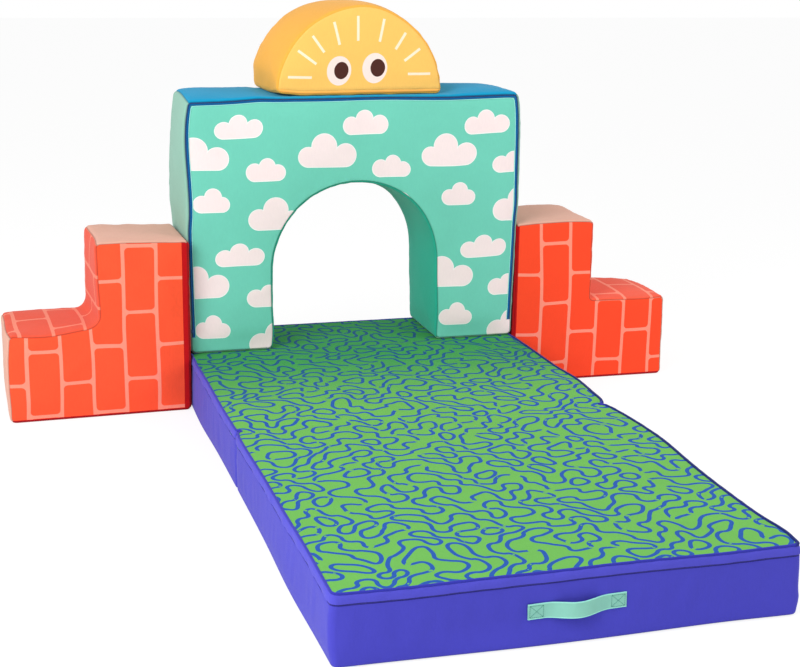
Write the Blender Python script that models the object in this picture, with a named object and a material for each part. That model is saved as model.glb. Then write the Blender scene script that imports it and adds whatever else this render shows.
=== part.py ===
"""Foam play set: a folding mat, a crawl-through arch, two stepped blocks and a half-round block.

Metres, +Z up. The origin is on the floor under the middle of the mat's rear panel. +X is to the
right, and +Y is to the back, where the arch stands. Every block is a foam core in a sewn cover, so
each panel of its cover follows the outline of the core, a named clearance away from it.
"""

import math
from dataclasses import dataclass

import bmesh
import bpy
from mathutils import Matrix, Vector

# Clearances and cloth
CLEARANCE = 0.0003
COVER = 0.002
MITRE_GAP = 0.00024
MERGE = 1e-5

# Mat: two square panels that fold together along their top edge
PANEL_WIDTH = 0.762
PANEL_LENGTH = 0.762
MAT_THICKNESS = 0.120
MAT_CORNER = 0.022
MAT_BAND_HEIGHT = 0.018
PIPING_WIDTH = 0.005

# Arch, as wide as the mat that it stands on
ARCH_WIDTH = PANEL_WIDTH
ARCH_HEIGHT = 0.568
ARCH_DEPTH = 0.2115
OPENING_WIDTH = 0.385
OPENING_HEIGHT = 0.376
ARCH_ZIP_START = 0.038

# Stepped blocks
WALL_TALL_WIDTH = 0.193
WALL_STEP_WIDTH = 0.197
WALL_HEIGHT = 0.386
WALL_STEP_HEIGHT = 0.193
WALL_DEPTH = 0.213
WALL_INNER_CORNER = 0.014
LEFT_WALL_FORWARD = 0.0315

# Half-round block
SUN_RADIUS = 0.1925
SUN_DEPTH = 0.2115
SUN_OFFSET = 0.013
SUN_SETBACK = 0.020
SUN_TURN = math.radians(2.4)

# Rounding and seams that all the blocks share
EDGE_RADIUS = 0.012
BLOCK_CORNER = 0.014
SEAM_INSET = 0.008
ROUNDING_STEPS = 1

# Zips: a tape let into a slot between two panels, a bead of teeth on it, and a slider
ZIP_SLOT = 0.006
ZIP_INSET = 0.010
TAPE_DEPTH = 0.001
BEAD_WIDTH = 0.0026
BEAD_STANDS = 0.0003
ZIP_END_GAP = 0.030
SLIDER_LENGTH = 0.010
SLIDER_WIDTH = 0.0085
SLIDER_HEIGHT = 0.0017
SLIDER_PARKED = 0.014

# Carry handle: webbing sewn down at both ends and bowed out between them
HANDLE_LENGTH = 0.162
HANDLE_WIDTH = 0.0255
HANDLE_THICKNESS = 0.0018
HANDLE_END = 0.028
HANDLE_BOW = 0.018
HANDLE_OFFSET = 0.004
HANDLE_HEIGHT = 0.059
HANDLE_STEPS = 24
HANDLE_EASE = 1.5

# How far cutters reach past what they cut, and into a face behind its panel
REACH = 0.010
FACE_REACH = EDGE_RADIUS / 2
MITRE_DEPTH = BLOCK_CORNER

# A round stretch with a radius above this is one of the big curves
BIG_ARC = 0.05
BIG_ARC_STEPS = 9
CORNER_STEPS = 3

FOLD_Y = -PANEL_LENGTH / 2
ARCH_FRONT = PANEL_LENGTH / 2 - ARCH_DEPTH
WALL_WIDTH = WALL_TALL_WIDTH + WALL_STEP_WIDTH
PIPING_OUT = SEAM_INSET - PIPING_WIDTH / 2
PIPING_IN = SEAM_INSET + PIPING_WIDTH / 2
FLAP_FOOT = -MAT_BAND_HEIGHT - COVER
TONGUE = PANEL_WIDTH / 2 - MAT_CORNER - 2 * CLEARANCE

PARTS = "foam_play_set"
CUTTERS = "cutters"
EMPTIES = "frames"

# Display colours of the cloths and of the foam, 0 to 255
GREEN = (98, 190, 62)
PIPING_BLUE = (30, 52, 150)
PURPLE = (84, 78, 196)
PURPLE_BASE = (70, 66, 168)
WEBBING = (126, 216, 178)
TEAL = (112, 212, 186)
MINT = (166, 190, 172)
SKY_BLUE = (26, 140, 190)
ZIP_BLUE = (14, 92, 150)
BRICK = (250, 84, 52)
CAP = (235, 168, 148)
DEEP_RED = (205, 20, 24)
ZIP_RED = (150, 14, 18)
YELLOW = (250, 196, 96)
RIM_YELLOW = (246, 180, 86)
ZIP_YELLOW = (214, 150, 60)
FOAM = (236, 232, 220)
DARK_BLUE = (40, 40, 120)


@dataclass
class Arc:
    """One rounded corner of an outline, run anticlockwise. A negative sweep is a hollow corner."""

    centre: Vector
    radius: float
    start: float
    sweep: float

    @property
    def hollow(self):
        return self.sweep < 0

    def at(self, angle):
        return Vector((math.cos(angle), math.sin(angle)))

    def points(self, inset, around=False):
        """The corner's points, with the outline moved inwards by inset.

        They lie on the arc, or around it, where the tangents at those points cross.
        """
        radius = self.radius + inset if self.hollow else self.radius - inset
        if radius < MERGE:
            return [self.centre + radius * self.outward()]
        steps = BIG_ARC_STEPS if self.radius > BIG_ARC else CORNER_STEPS
        step = self.sweep / steps
        angles = [self.start + step * i for i in range(steps + 1)]
        if around:
            radius /= math.cos(step / 2)
            angles = [angle + step / 2 for angle in angles[:-1]]
        return [self.centre + radius * self.at(angle) for angle in angles]

    def outward(self):
        """The diagonal out of the material, from the centre to the sharp corner of a unit arc."""
        side = -1 if self.hollow else 1
        diagonal = self.at(self.start) + self.at(self.start + self.sweep)
        return side * diagonal / (1 + math.cos(self.sweep))

    def tip(self):
        """The corner as it would be without its rounding."""
        side = -1 if self.hollow else 1
        return self.centre + side * self.radius * self.outward()

    def heading(self, angle):
        """The way the outline runs where the arc is at this angle."""
        turn = math.copysign(math.pi / 2, self.sweep)
        return self.at(angle + turn)


@dataclass
class Block:
    """An outline swept through a depth. Its frame is the empty that places it."""

    name: str
    arcs: list
    depth: float
    frame: bpy.types.Object
    middle: float = 0.0

    @property
    def front(self):
        return self.middle + self.depth / 2

    @property
    def back(self):
        return self.middle - self.depth / 2


def linear(colour):
    """A display colour of 0 to 255 as the linear colour that a shader takes."""
    return [((c / 255 + 0.055) / 1.055) ** 2.4 for c in colour] + [1.0]


def material(name, colour, roughness):
    made = bpy.data.materials.new(name)
    made.use_nodes = True
    shader = made.node_tree.nodes["Principled BSDF"]
    shader.inputs["Base Color"].default_value = linear(colour)
    shader.inputs["Roughness"].default_value = roughness
    shader.inputs["Metallic"].default_value = 0.0
    return made


def clear_scene():
    for old in list(bpy.data.objects):
        bpy.data.objects.remove(old)
    for name in (PARTS, CUTTERS, EMPTIES):
        bpy.context.scene.collection.children.link(bpy.data.collections.new(name))


def add_object(name, data, frame, collection):
    made = bpy.data.objects.new(name, data)
    bpy.data.collections[collection].objects.link(made)
    made.parent = frame
    if collection == CUTTERS:
        made.hide_render = True
        made.display_type = "WIRE"
    return made


def add_frame(name, location, rotation=(0, 0, 0), parent=None):
    """An empty that places a block, or stands on a joint's axis."""
    empty = add_object(name, None, parent, EMPTIES)
    empty.location = location
    empty.rotation_euler = rotation
    return empty


def corner_arcs(corners):
    """Arcs for a right-angled outline, given anticlockwise as (x, y, radius)."""
    arcs = []
    for i, (x, y, radius) in enumerate(corners):
        here = Vector((x, y))
        came = (here - Vector(corners[i - 1][:2])).normalized()
        goes = (Vector(corners[(i + 1) % len(corners)][:2]) - here).normalized()
        side = 1 if came.cross(goes) > 0 else -1
        inward_came = side * Vector((-came.y, came.x))
        inward_goes = side * Vector((-goes.y, goes.x))
        centre = here + radius * (inward_came + inward_goes)
        start = math.atan2(-inward_came.y, -inward_came.x)
        arcs.append(Arc(centre, radius, start, side * math.pi / 2))
    return arcs


def half_disc_arcs(radius, corner):
    """A half disc on its flat side. Its two lower corners are arcs that run into the big one."""
    across = math.sqrt((radius - corner) ** 2 - corner**2)
    lift = math.atan2(corner, across)
    quarter = math.pi / 2 - lift
    return [
        Arc(Vector((across, corner)), corner, -math.pi / 2, math.pi / 2 + lift),
        Arc(Vector((0, 0)), radius, lift, quarter),
        Arc(Vector((0, 0)), radius, math.pi / 2, quarter),
        Arc(Vector((-across, corner)), corner, math.pi - lift, math.pi / 2 + lift),
    ]


def outline_points(arcs, inset=0.0, around=True):
    """The points round an outline moved inwards by inset, without doubles."""
    points = []
    for arc in arcs:
        for point in arc.points(inset, around):
            if not points or (point - points[-1]).length > MERGE:
                points.append(point)
    if (points[0] - points[-1]).length < MERGE:
        points.pop()
    return points


def flat_solid(name, points, low, high, frame, collection, edge=0.0):
    """A closed outline given depth from low to high, with its rim rounded outwards by edge."""
    curve = bpy.data.curves.new(name, "CURVE")
    curve.dimensions = "2D"
    curve.fill_mode = "BOTH"
    curve.extrude = (high - low) / 2 - edge
    curve.bevel_depth = edge
    curve.bevel_resolution = ROUNDING_STEPS
    spline = curve.splines.new("POLY")
    spline.points.add(len(points) - 1)
    for point, place in zip(spline.points, points):
        point.co = (place[0], place[1], 0, 1)
    spline.use_cyclic_u = True
    drawn = bpy.data.objects.new(name, curve)
    bpy.context.scene.collection.objects.link(drawn)
    graph = bpy.context.evaluated_depsgraph_get()
    mesh = bpy.data.meshes.new_from_object(drawn.evaluated_get(graph))
    bpy.data.objects.remove(drawn)
    bpy.data.curves.remove(curve)
    mesh.name = name
    cleaned = bmesh.new()
    cleaned.from_mesh(mesh)
    bmesh.ops.remove_doubles(cleaned, verts=cleaned.verts, dist=MERGE)
    bmesh.ops.translate(cleaned, verts=cleaned.verts, vec=(0, 0, (low + high) / 2))
    bmesh.ops.recalc_face_normals(cleaned, faces=cleaned.faces)
    cleaned.to_mesh(mesh)
    cleaned.free()
    return add_object(name, mesh, frame, collection)


def block_solid(block, name, shrink, collection):
    """The block's rounded form, all its surfaces moved inwards by shrink."""
    return flat_solid(
        name,
        outline_points(block.arcs, EDGE_RADIUS, around=False),
        block.back + shrink,
        block.front - shrink,
        block.frame,
        collection,
        EDGE_RADIUS - shrink,
    )


def cutter(block, name, points, low, high):
    """A cutter with this outline, through the block from low to high."""
    return flat_solid(f"cut_{block.name}_{name}", points, low, high, block.frame, CUTTERS)


def box_cutter(block, name, low, high):
    points = [(low[0], low[1]), (high[0], low[1]), (high[0], high[1]), (low[0], high[1])]
    return cutter(block, name, points, low[2], high[2])


def face_cutter(block, name, inset, back=False):
    """A cutter for a panel of the front or back face, as far in from the edge as inset."""
    points = outline_points(block.arcs, inset)
    if back:
        return cutter(block, name, points, block.back - REACH, block.back + FACE_REACH)
    return cutter(block, name, points, block.front - FACE_REACH, block.front + REACH)


def band_cutter(block, name, first, last, gap=MITRE_GAP):
    """A cutter for the cover's band from one corner to another, mitred at both."""
    outer, inner = [], []
    for index in range(first, last + 1):
        arc = block.arcs[index % len(block.arcs)]
        shift = Vector((0, 0))
        if index == first:
            shift = gap * arc.heading(arc.start + arc.sweep)
        if index == last:
            shift = -gap * arc.heading(arc.start)
        small = arc.radius < BIG_ARC
        if small or not arc.hollow:
            outer.append(arc.tip() + REACH * arc.outward() + shift)
        if small or arc.hollow:
            inner.append(arc.tip() - MITRE_DEPTH * arc.outward() + shift)
    points = outer + inner[::-1]
    return cutter(block, name, points, block.back - REACH, block.front + REACH)


def boolean(piece, other, operation):
    modifier = piece.modifiers.new(other.name, "BOOLEAN")
    modifier.operation = operation
    modifier.solver = "EXACT"
    modifier.object = other


def finish(piece, colour, roughness=0.8):
    piece.data.materials.clear()
    piece.data.materials.append(material(piece.name, colour, roughness))
    return piece


def cover_piece(block, name, colour, keep=(), drop=(), outside=0.0, inside=None, collection=PARTS):
    """A piece of the cover: what is kept of the shell between two depths below the surface."""
    piece = block_solid(block, name, outside, collection)
    for other in keep:
        boolean(piece, other, "INTERSECT")
    for other in drop:
        boolean(piece, other, "DIFFERENCE")
    boolean(piece, inside or hollow(block), "DIFFERENCE")
    return finish(piece, colour)


def hollow(block, depth=COVER):
    """The space inside the cover, as a cutter. It is made once for each depth."""
    name = f"cut_{block.name}_hollow_{round(depth * 1e4)}"
    return bpy.data.objects.get(name) or block_solid(block, name, depth, CUTTERS)


def foam_core(block):
    core = block_solid(block, f"{block.name}_foam", COVER + CLEARANCE, PARTS)
    return finish(core, FOAM, 0.95)


def zip_chain(block, name, colour, tape_keep, bead_keep, drop=()):
    """The zip: its tape in the slot between two panels, with the bead of teeth joined to it."""
    bead = cover_piece(
        block,
        f"{name}_bead",
        colour,
        bead_keep,
        drop,
        outside=-BEAD_STANDS,
        inside=hollow(block, (COVER + TAPE_DEPTH) / 2),
        collection=CUTTERS,
    )
    chain = cover_piece(block, name, colour, tape_keep, drop, outside=TAPE_DEPTH)
    boolean(chain, bead, "UNION")


def zip_slider(block, name, place, along, out, colour):
    """A slider without a pull, saddled over the teeth. It runs along and stands out of the cloth."""
    groove = BEAD_WIDTH / 2 + CLEARANCE
    keel = ZIP_SLOT / 2 - 2 * CLEARANCE
    floor = CLEARANCE - TAPE_DEPTH
    under = BEAD_STANDS + CLEARANCE
    half = SLIDER_WIDTH / 2
    profile = [
        (-keel, floor),
        (-groove, floor),
        (-groove, under),
        (groove, under),
        (groove, floor),
        (keel, floor),
        (keel, under),
        (half, under),
        (half - CLEARANCE, under + SLIDER_HEIGHT),
        (CLEARANCE - half, under + SLIDER_HEIGHT),
        (-half, under),
        (-keel, under),
    ]
    slider = flat_solid(
        name, profile, -SLIDER_LENGTH / 2, SLIDER_LENGTH / 2, block.frame, PARTS
    )
    across = Vector(out).cross(Vector(along))
    turn = Matrix((across, Vector(out), Vector(along))).transposed()
    slider.matrix_local = Matrix.Translation(place) @ turn.to_4x4()
    return finish(slider, colour, 0.35)


def mat_panel(name, side, frame):
    """One panel of the mat. Its frame is on the fold, at the top, and side is the way it lies."""
    half = PANEL_WIDTH / 2
    near, far = sorted((side * CLEARANCE / 2, side * PANEL_LENGTH))
    corners = [(-half, near), (half, near), (half, far), (-half, far)]
    arcs = corner_arcs([(x, y, MAT_CORNER) for x, y in corners])
    block = Block(name, arcs, MAT_THICKNESS, frame, -MAT_THICKNESS / 2)
    foam_core(block)
    mat_walls(block, 0 if side > 0 else 2)
    mat_piping(block, side)
    top_sheet(block, side)
    mat_zip(block, side)


def mat_layer(block, name, low, high):
    """A cutter across a whole mat panel, between two heights measured from its top."""
    wide, long = PANEL_WIDTH / 2 + REACH, PANEL_LENGTH + REACH
    return box_cutter(block, name, (-wide, -long, low), (wide, long, high))


def mat_walls(block, fold_edge):
    """The wall under the fold, the zip flap and the sides below it on the other three, and the base."""
    under = -MAT_THICKNESS - REACH
    fold_keep = band_cutter(block, "fold_keep", fold_edge, fold_edge + 1)
    fold_drop = band_cutter(block, "fold_drop", fold_edge, fold_edge + 1, -MITRE_GAP)
    below_sheet = mat_layer(block, "below_sheet", under, -COVER - CLEARANCE)
    upper = mat_layer(block, "upper", FLAP_FOOT, REACH)
    lower = mat_layer(block, "lower", under, FLAP_FOOT - ZIP_SLOT)
    top_hole = face_cutter(block, "top_hole", PIPING_OUT - CLEARANCE)
    base_hole = face_cutter(block, "base_hole", SEAM_INSET - CLEARANCE, back=True)
    base_keep = face_cutter(block, "base_keep", SEAM_INSET, back=True)
    for section, colour, keep, drop in (
        ("fold_side", PURPLE, [fold_keep, below_sheet], [base_hole, top_hole]),
        ("zip_flap", PURPLE, [upper], [fold_drop, top_hole]),
        ("sides", PURPLE, [lower], [fold_drop, base_hole]),
        ("base", PURPLE_BASE, [base_keep], []),
    ):
        cover_piece(block, f"{block.name}_{section}", colour, keep, drop)


def mat_piping(block, side):
    """Piping along the top seam. It stops on either side of the tongue that bridges the fold."""
    keep = face_cutter(block, "piping_keep", PIPING_OUT)
    drop = face_cutter(block, "piping_drop", PIPING_IN)
    near, far = sorted((-side * REACH, side * MAT_CORNER))
    wide = TONGUE + CLEARANCE
    gap = box_cutter(block, "piping_gap", (-wide, near, -REACH), (wide, far, REACH))
    cover_piece(block, f"{block.name}_piping", PIPING_BLUE, [keep], [drop, gap])


def mat_zip(block, side):
    """The zip under the flap. It runs round three sides and stops short of the fold."""
    middle = FLAP_FOOT - ZIP_SLOT / 2
    tape_half, bead_half = ZIP_SLOT / 2 - CLEARANCE, BEAD_WIDTH / 2
    tape = mat_layer(block, "tape", middle - tape_half, middle + tape_half)
    bead = mat_layer(block, "bead", middle - bead_half, middle + bead_half)
    wide = PANEL_WIDTH / 2 + REACH
    near, far = sorted((-side * REACH, side * ZIP_END_GAP))
    ends = box_cutter(block, "ends", (-wide, near, -MAT_THICKNESS), (wide, far, REACH))
    zip_chain(block, f"{block.name}_zip", DARK_BLUE, [tape], [bead], [ends])
    parked = (-PANEL_WIDTH / 2, side * (ZIP_END_GAP + SLIDER_PARKED), middle)
    zip_slider(
        block, f"{block.name}_zip_slider", parked, (0, side, 0), (-1, 0, 0), DARK_BLUE
    )


def top_sheet(block, side):
    """The printed top of a mat panel, with a tongue to the fold between the rounded corners."""
    inset = PIPING_IN + CLEARANCE
    half = PANEL_WIDTH / 2 - inset
    fold, shoulder = side * CLEARANCE / 2, side * inset
    far = side * (PANEL_LENGTH - inset)
    radius = MAT_CORNER - inset
    corners = [
        (-TONGUE, fold, 0),
        (TONGUE, fold, 0),
        (TONGUE, shoulder, 0),
        (half, shoulder, radius),
        (half, far, radius),
        (-half, far, radius),
        (-half, shoulder, radius),
        (-TONGUE, shoulder, 0),
    ]
    if side < 0:
        corners.reverse()
    points = outline_points(corner_arcs(corners))
    sheet = flat_solid(f"{block.name}_top", points, -COVER, 0, block.frame, PARTS)
    finish(sheet, GREEN)


def carry_handle(frame):
    """Webbing across the front: flat where it is sewn down, and bowed out between."""
    free = HANDLE_LENGTH / 2 - HANDLE_END
    lines = {1: [], -1: []}
    for i in range(HANDLE_STEPS + 1):
        x = HANDLE_LENGTH * (i / HANDLE_STEPS - 0.5)
        rise = max(0.0, 1 - abs(x) / free)
        swell = HANDLE_BOW * math.sin(math.pi / 2 * rise) ** HANDLE_EASE
        for side, line in lines.items():
            line.append((x, CLEARANCE + swell + HANDLE_THICKNESS * (1 + side) / 2))
    points = lines[-1] + lines[1][::-1]
    half = HANDLE_WIDTH / 2
    strap = flat_solid("carry_handle", points, -half, half, frame, PARTS)
    out, up = Vector((0, -1, 0)), Vector((0, 0, 1))
    turn = Matrix((out.cross(up), out, up)).transposed()
    place = (HANDLE_OFFSET, -PANEL_LENGTH, HANDLE_HEIGHT - MAT_THICKNESS)
    strap.matrix_local = Matrix.Translation(place) @ turn.to_4x4()
    return finish(strap, WEBBING)


def cover_faces(block, face_colour, back_colour, slots=()):
    """The front and back panels of an upright block, and the holes that they leave in its band."""
    front = face_cutter(block, "front_keep", SEAM_INSET)
    back = face_cutter(block, "back_keep", SEAM_INSET, back=True)
    cover_piece(block, f"{block.name}_front", face_colour, [front], slots)
    cover_piece(block, f"{block.name}_back", back_colour, [back], slots)
    return [
        face_cutter(block, "front_hole", SEAM_INSET - CLEARANCE),
        face_cutter(block, "back_hole", SEAM_INSET - CLEARANCE, back=True),
    ]


def back_zip(block, low, high, chain_colour):
    """A straight zip along the foot of a block's back, and the slot that it lies in."""
    face = (block.back - REACH, block.back + FACE_REACH)
    cutters = {}
    for kind, half in (
        ("slot", ZIP_SLOT / 2),
        ("tape", ZIP_SLOT / 2 - CLEARANCE),
        ("bead", BEAD_WIDTH / 2),
    ):
        end = 0 if kind == "slot" else CLEARANCE
        cutters[kind] = box_cutter(
            block,
            kind,
            (low + end, ZIP_INSET - half, face[0]),
            (high - end, ZIP_INSET + half, face[1]),
        )
    zip_chain(
        block, f"{block.name}_zip", chain_colour, [cutters["tape"]], [cutters["bead"]]
    )
    parked = (low + SLIDER_PARKED, ZIP_INSET, block.back)
    zip_slider(
        block, f"{block.name}_zip_slider", parked, (1, 0, 0), (0, 0, -1), chain_colour
    )
    return cutters["slot"]


def arch_zip(block, corners):
    """The zip round the arch's front, up one side, over the top and down the other. Gives its slot."""
    feet_and_top = corner_arcs([corners[i] for i in (0, 5, 6, 7)])
    half = ARCH_WIDTH / 2 + REACH
    near, far = block.front - FACE_REACH, block.front + REACH
    rings = {}
    for kind, half_width, foot in (
        ("slot", ZIP_SLOT / 2, ARCH_ZIP_START),
        ("tape", ZIP_SLOT / 2 - CLEARANCE, ARCH_ZIP_START + CLEARANCE),
        ("bead", BEAD_WIDTH / 2, ARCH_ZIP_START + CLEARANCE),
    ):
        wide = outline_points(feet_and_top, ZIP_INSET - half_width)
        narrow = outline_points(feet_and_top, ZIP_INSET + half_width)
        ring = cutter(block, f"{kind}_ring", wide, near, far)
        hole = cutter(block, f"{kind}_hole", narrow, near - REACH, far + REACH)
        below = box_cutter(
            block, f"{kind}_foot", (-half, -REACH, near - REACH), (half, foot, far + REACH)
        )
        boolean(ring, hole, "DIFFERENCE")
        boolean(ring, below, "DIFFERENCE")
        rings[kind] = ring
    zip_chain(block, "arch_zip", ZIP_BLUE, [rings["tape"]], [rings["bead"]])
    parked = (ZIP_INSET - ARCH_WIDTH / 2, ARCH_ZIP_START + SLIDER_PARKED, block.front)
    zip_slider(block, "arch_zip_slider", parked, (0, 1, 0), (0, 0, 1), ZIP_BLUE)
    return rings["slot"]


def arch(frame):
    half, inner = ARCH_WIDTH / 2, OPENING_WIDTH / 2
    corners = [
        (-half, 0, BLOCK_CORNER),
        (-inner, 0, BLOCK_CORNER),
        (-inner, OPENING_HEIGHT, inner),
        (inner, OPENING_HEIGHT, inner),
        (inner, 0, BLOCK_CORNER),
        (half, 0, BLOCK_CORNER),
        (half, ARCH_HEIGHT, BLOCK_CORNER),
        (-half, ARCH_HEIGHT, BLOCK_CORNER),
    ]
    block = Block("arch", corner_arcs(corners), ARCH_DEPTH, frame)
    foam_core(block)
    slot = arch_zip(block, corners)
    holes = cover_faces(block, TEAL, TEAL, [slot])
    sections = {
        "left_foot": (0, 1, MINT),
        "tunnel_lining": (1, 4, TEAL),
        "right_foot": (4, 5, MINT),
        "right_side": (5, 6, MINT),
        "top": (6, 7, SKY_BLUE),
        "left_side": (7, 8, MINT),
    }
    for name, (first, last, colour) in sections.items():
        keep = band_cutter(block, name, first, last)
        cover_piece(block, f"arch_{name}", colour, [keep], [*holes, slot])


def wall(name, side, frame):
    """A stepped block. Its tall part stands at x = 0, by the arch, and side is the way it steps."""
    tall, wide = side * WALL_TALL_WIDTH, side * WALL_WIDTH
    corners = [
        (0, 0, BLOCK_CORNER),
        (wide, 0, BLOCK_CORNER),
        (wide, WALL_STEP_HEIGHT, BLOCK_CORNER),
        (tall, WALL_STEP_HEIGHT, WALL_INNER_CORNER),
        (tall, WALL_HEIGHT, BLOCK_CORNER),
        (0, WALL_HEIGHT, BLOCK_CORNER),
    ]
    sections = {
        "base": (0, 1, DEEP_RED),
        "end_cap": (1, 2, CAP),
        "step": (2, 4, BRICK),
        "top_cap": (4, 5, CAP),
        "inner_side": (5, 6, DEEP_RED),
    }
    if side < 0:
        corners = corners[::-1]
        last = len(corners) - 1
        sections = {n: (last - b, last - a, c) for n, (a, b, c) in sections.items()}
    block = Block(name, corner_arcs(corners), WALL_DEPTH, frame)
    foam_core(block)
    low, high = sorted((0, wide))
    slot = back_zip(block, low + ZIP_END_GAP, high - ZIP_END_GAP, ZIP_RED)
    holes = cover_faces(block, BRICK, BRICK, [slot])
    for section, (first, last, colour) in sections.items():
        keep = band_cutter(block, section, first, last)
        cover_piece(block, f"{name}_{section}", colour, [keep], [*holes, slot])


def sun(frame):
    block = Block("sun", half_disc_arcs(SUN_RADIUS, BLOCK_CORNER), SUN_DEPTH, frame)
    foam_core(block)
    reach = SUN_RADIUS - ZIP_END_GAP
    slot = back_zip(block, -reach, reach, ZIP_YELLOW)
    holes = cover_faces(block, YELLOW, YELLOW, [slot])
    for section, (first, last, colour) in {
        "rim": (0, 3, RIM_YELLOW),
        "base": (3, 4, RIM_YELLOW),
    }.items():
        keep = band_cutter(block, section, first, last)
        cover_piece(block, f"sun_{section}", colour, [keep], [*holes, slot])


def build():
    clear_scene()
    upright = math.pi / 2
    fold = (0, FOLD_Y, MAT_THICKNESS)
    mat_panel("mat_rear", 1, add_frame("mat_rear_frame", fold))
    front_frame = add_frame("mat_fold_axis", fold)
    mat_panel("mat_front", -1, front_frame)
    carry_handle(front_frame)

    arch_frame = add_frame(
        "arch_frame",
        (0, ARCH_FRONT + ARCH_DEPTH / 2, MAT_THICKNESS + CLEARANCE),
        (upright, 0, 0),
    )
    arch(arch_frame)
    sun_place = (SUN_OFFSET, ARCH_HEIGHT + CLEARANCE, ARCH_DEPTH / 2 - SUN_SETBACK - SUN_DEPTH / 2)
    sun(add_frame("sun_frame", sun_place, (0, SUN_TURN, 0), arch_frame))

    beside = PANEL_WIDTH / 2 + CLEARANCE
    for name, side, front in (
        ("left_wall", -1, ARCH_FRONT - LEFT_WALL_FORWARD),
        ("right_wall", 1, ARCH_FRONT),
    ):
        place = (side * beside, front + WALL_DEPTH / 2, 0)
        wall(name, side, add_frame(f"{name}_frame", place, (upright, 0, 0)))


build()
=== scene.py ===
"""Looks of the foam play set: cloth covers over foam, prints, zips, piping and the carry handle.

Metres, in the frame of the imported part: the floor is z = 0, +X is to the right and +Y is to the
back, where the arch stands. Each block is a crowned foam core in a cover of cut panels. All of a
block's panels are cut from one surface, so that they meet at their seams.
"""

from __future__ import annotations

import functools
import logging
import math
from dataclasses import dataclass, field
from enum import Enum
from typing import Callable, Iterable, Iterator, Sequence

import bmesh
import bpy
import numpy as np
from mathutils import Euler, Matrix, Vector
from mathutils.bvhtree import BVHTree

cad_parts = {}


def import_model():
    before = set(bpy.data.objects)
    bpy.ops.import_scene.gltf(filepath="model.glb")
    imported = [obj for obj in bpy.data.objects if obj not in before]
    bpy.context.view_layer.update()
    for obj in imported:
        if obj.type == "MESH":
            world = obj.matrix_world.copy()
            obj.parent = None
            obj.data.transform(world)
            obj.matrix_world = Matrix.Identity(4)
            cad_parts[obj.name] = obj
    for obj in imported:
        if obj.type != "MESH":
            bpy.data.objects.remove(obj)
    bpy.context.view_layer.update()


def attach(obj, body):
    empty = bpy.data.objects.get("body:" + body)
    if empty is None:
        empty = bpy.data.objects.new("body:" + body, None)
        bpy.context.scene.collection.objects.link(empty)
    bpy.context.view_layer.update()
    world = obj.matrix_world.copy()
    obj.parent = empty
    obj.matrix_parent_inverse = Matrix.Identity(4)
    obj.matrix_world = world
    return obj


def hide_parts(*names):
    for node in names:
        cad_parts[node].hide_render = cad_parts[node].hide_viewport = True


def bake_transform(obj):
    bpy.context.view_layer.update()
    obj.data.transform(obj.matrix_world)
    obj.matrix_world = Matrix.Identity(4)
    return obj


LOG = logging.getLogger("foam_play_set")

Point = tuple[float, float, float]
Colour = tuple[int, int, int]

# The blocks' sizes and places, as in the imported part
PANEL = 0.762
MAT_TOP = 0.120
FOLD_Y = -PANEL / 2
CLEARANCE = 0.0003
ARCH_HEIGHT = 0.568
DEPTH = 0.2115
OPENING_WIDTH = 0.385
OPENING_HEIGHT = 0.376
ARCH_FRONT = PANEL / 2 - DEPTH
WALL_DEPTH = 0.213
WALL_TALL = 0.193
WALL_WIDTH = 0.390
WALL_HEIGHT = 0.386
STEP_HEIGHT = 0.193
LEFT_WALL_FORWARD = 0.0315
SUN_RADIUS = 0.1925

# The covers' rounding, seams and zips
EDGE = 0.007
CORNER = 0.012
MAT_CORNER = 0.012
SEAM = 0.0032
CLOTH = 0.0016
FLAP_FOOT = -0.0165
SLOT_FOOT = -0.0200
ARCH_ZIP_START = 0.038
ARCH_ZIP = (0.0044, 0.0118)
TONGUE = PANEL / 2 - 0.022 - 2 * CLEARANCE

# Where a mat panel's fold and its three free sides lie, by the bends at their ends
FOLD_SPAN = {1: (0, 1), -1: (2, 3)}
FREE_SPAN = {1: (1, 4), -1: (3, 6)}

# How the covers are made
TINY = 1e-6
MERGE = 0.0002
SHORTEST_RING = 0.0004
CORE_INSET = 0.0026
CORE_COARSER = 1.6
BIG_RADIUS = 0.05
REST_GAP = 0.0015
WANDER_LENGTH = 0.26
CORNER_REACH = 0.036
SWELL_REACH = 0.045
GROOVE_DEPTH = 0.0009
GROOVE_WIDTH = 0.0011
GATHER_START = 0.003
GATHER_REACH = 0.016
GATHER_LENGTH = 0.024
CREASE_DEPTH = 0.0014
CREASE_WIDTH = 0.0018
LOWEST = 0.0004
NARROWEST_SHEET = 0.012

# How the trim is made
WELT_RISE = 0.0003
TRIM_SPACING = 0.006
TOOTH_PITCH = 0.0021
TOOTH_SWAY = 0.0004
TOOTH_RISE = 0.0002
SLIDER_HALF = 0.001
ZIP_EDGE = 0.0031
WALL_ZIP_END = 0.030

# The carry handle's strap, from its left end to its right one
STRAP_PLANE = FOLD_Y - PANEL
STRAP_ENDS = (-0.077, 0.085)
STRAP_LEVELS = (0.0575, 0.0615)
STRAP_SEWN = 0.028
STRAP_BOW = 0.0125
STRAP_SAG = 0.0012
STRAP_WIDTH = 0.0255
STRAP_THICKNESS = 0.0018
STRAP_GAP = 0.0016
STITCH = 0.0030
STITCH_GAP = 0.00165
STITCH_MARGIN = 0.003
STITCH_BOX = 0.0095


def linear(colour: Colour) -> tuple[float, float, float, float]:
    """A display colour of 0 to 255 as the linear colour that a shader takes."""
    parts = [c / 255 / 12.92 if c < 11 else ((c / 255 + 0.055) / 1.055) ** 2.4 for c in colour]
    return (parts[0], parts[1], parts[2], 1.0)


def ease(values: np.ndarray, low: float, high: float) -> np.ndarray:
    """A smooth rise from 0 at low to 1 at high."""
    share = np.clip((values - low) / (high - low), 0.0, 1.0)
    return share * share * (3 - 2 * share)


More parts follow.
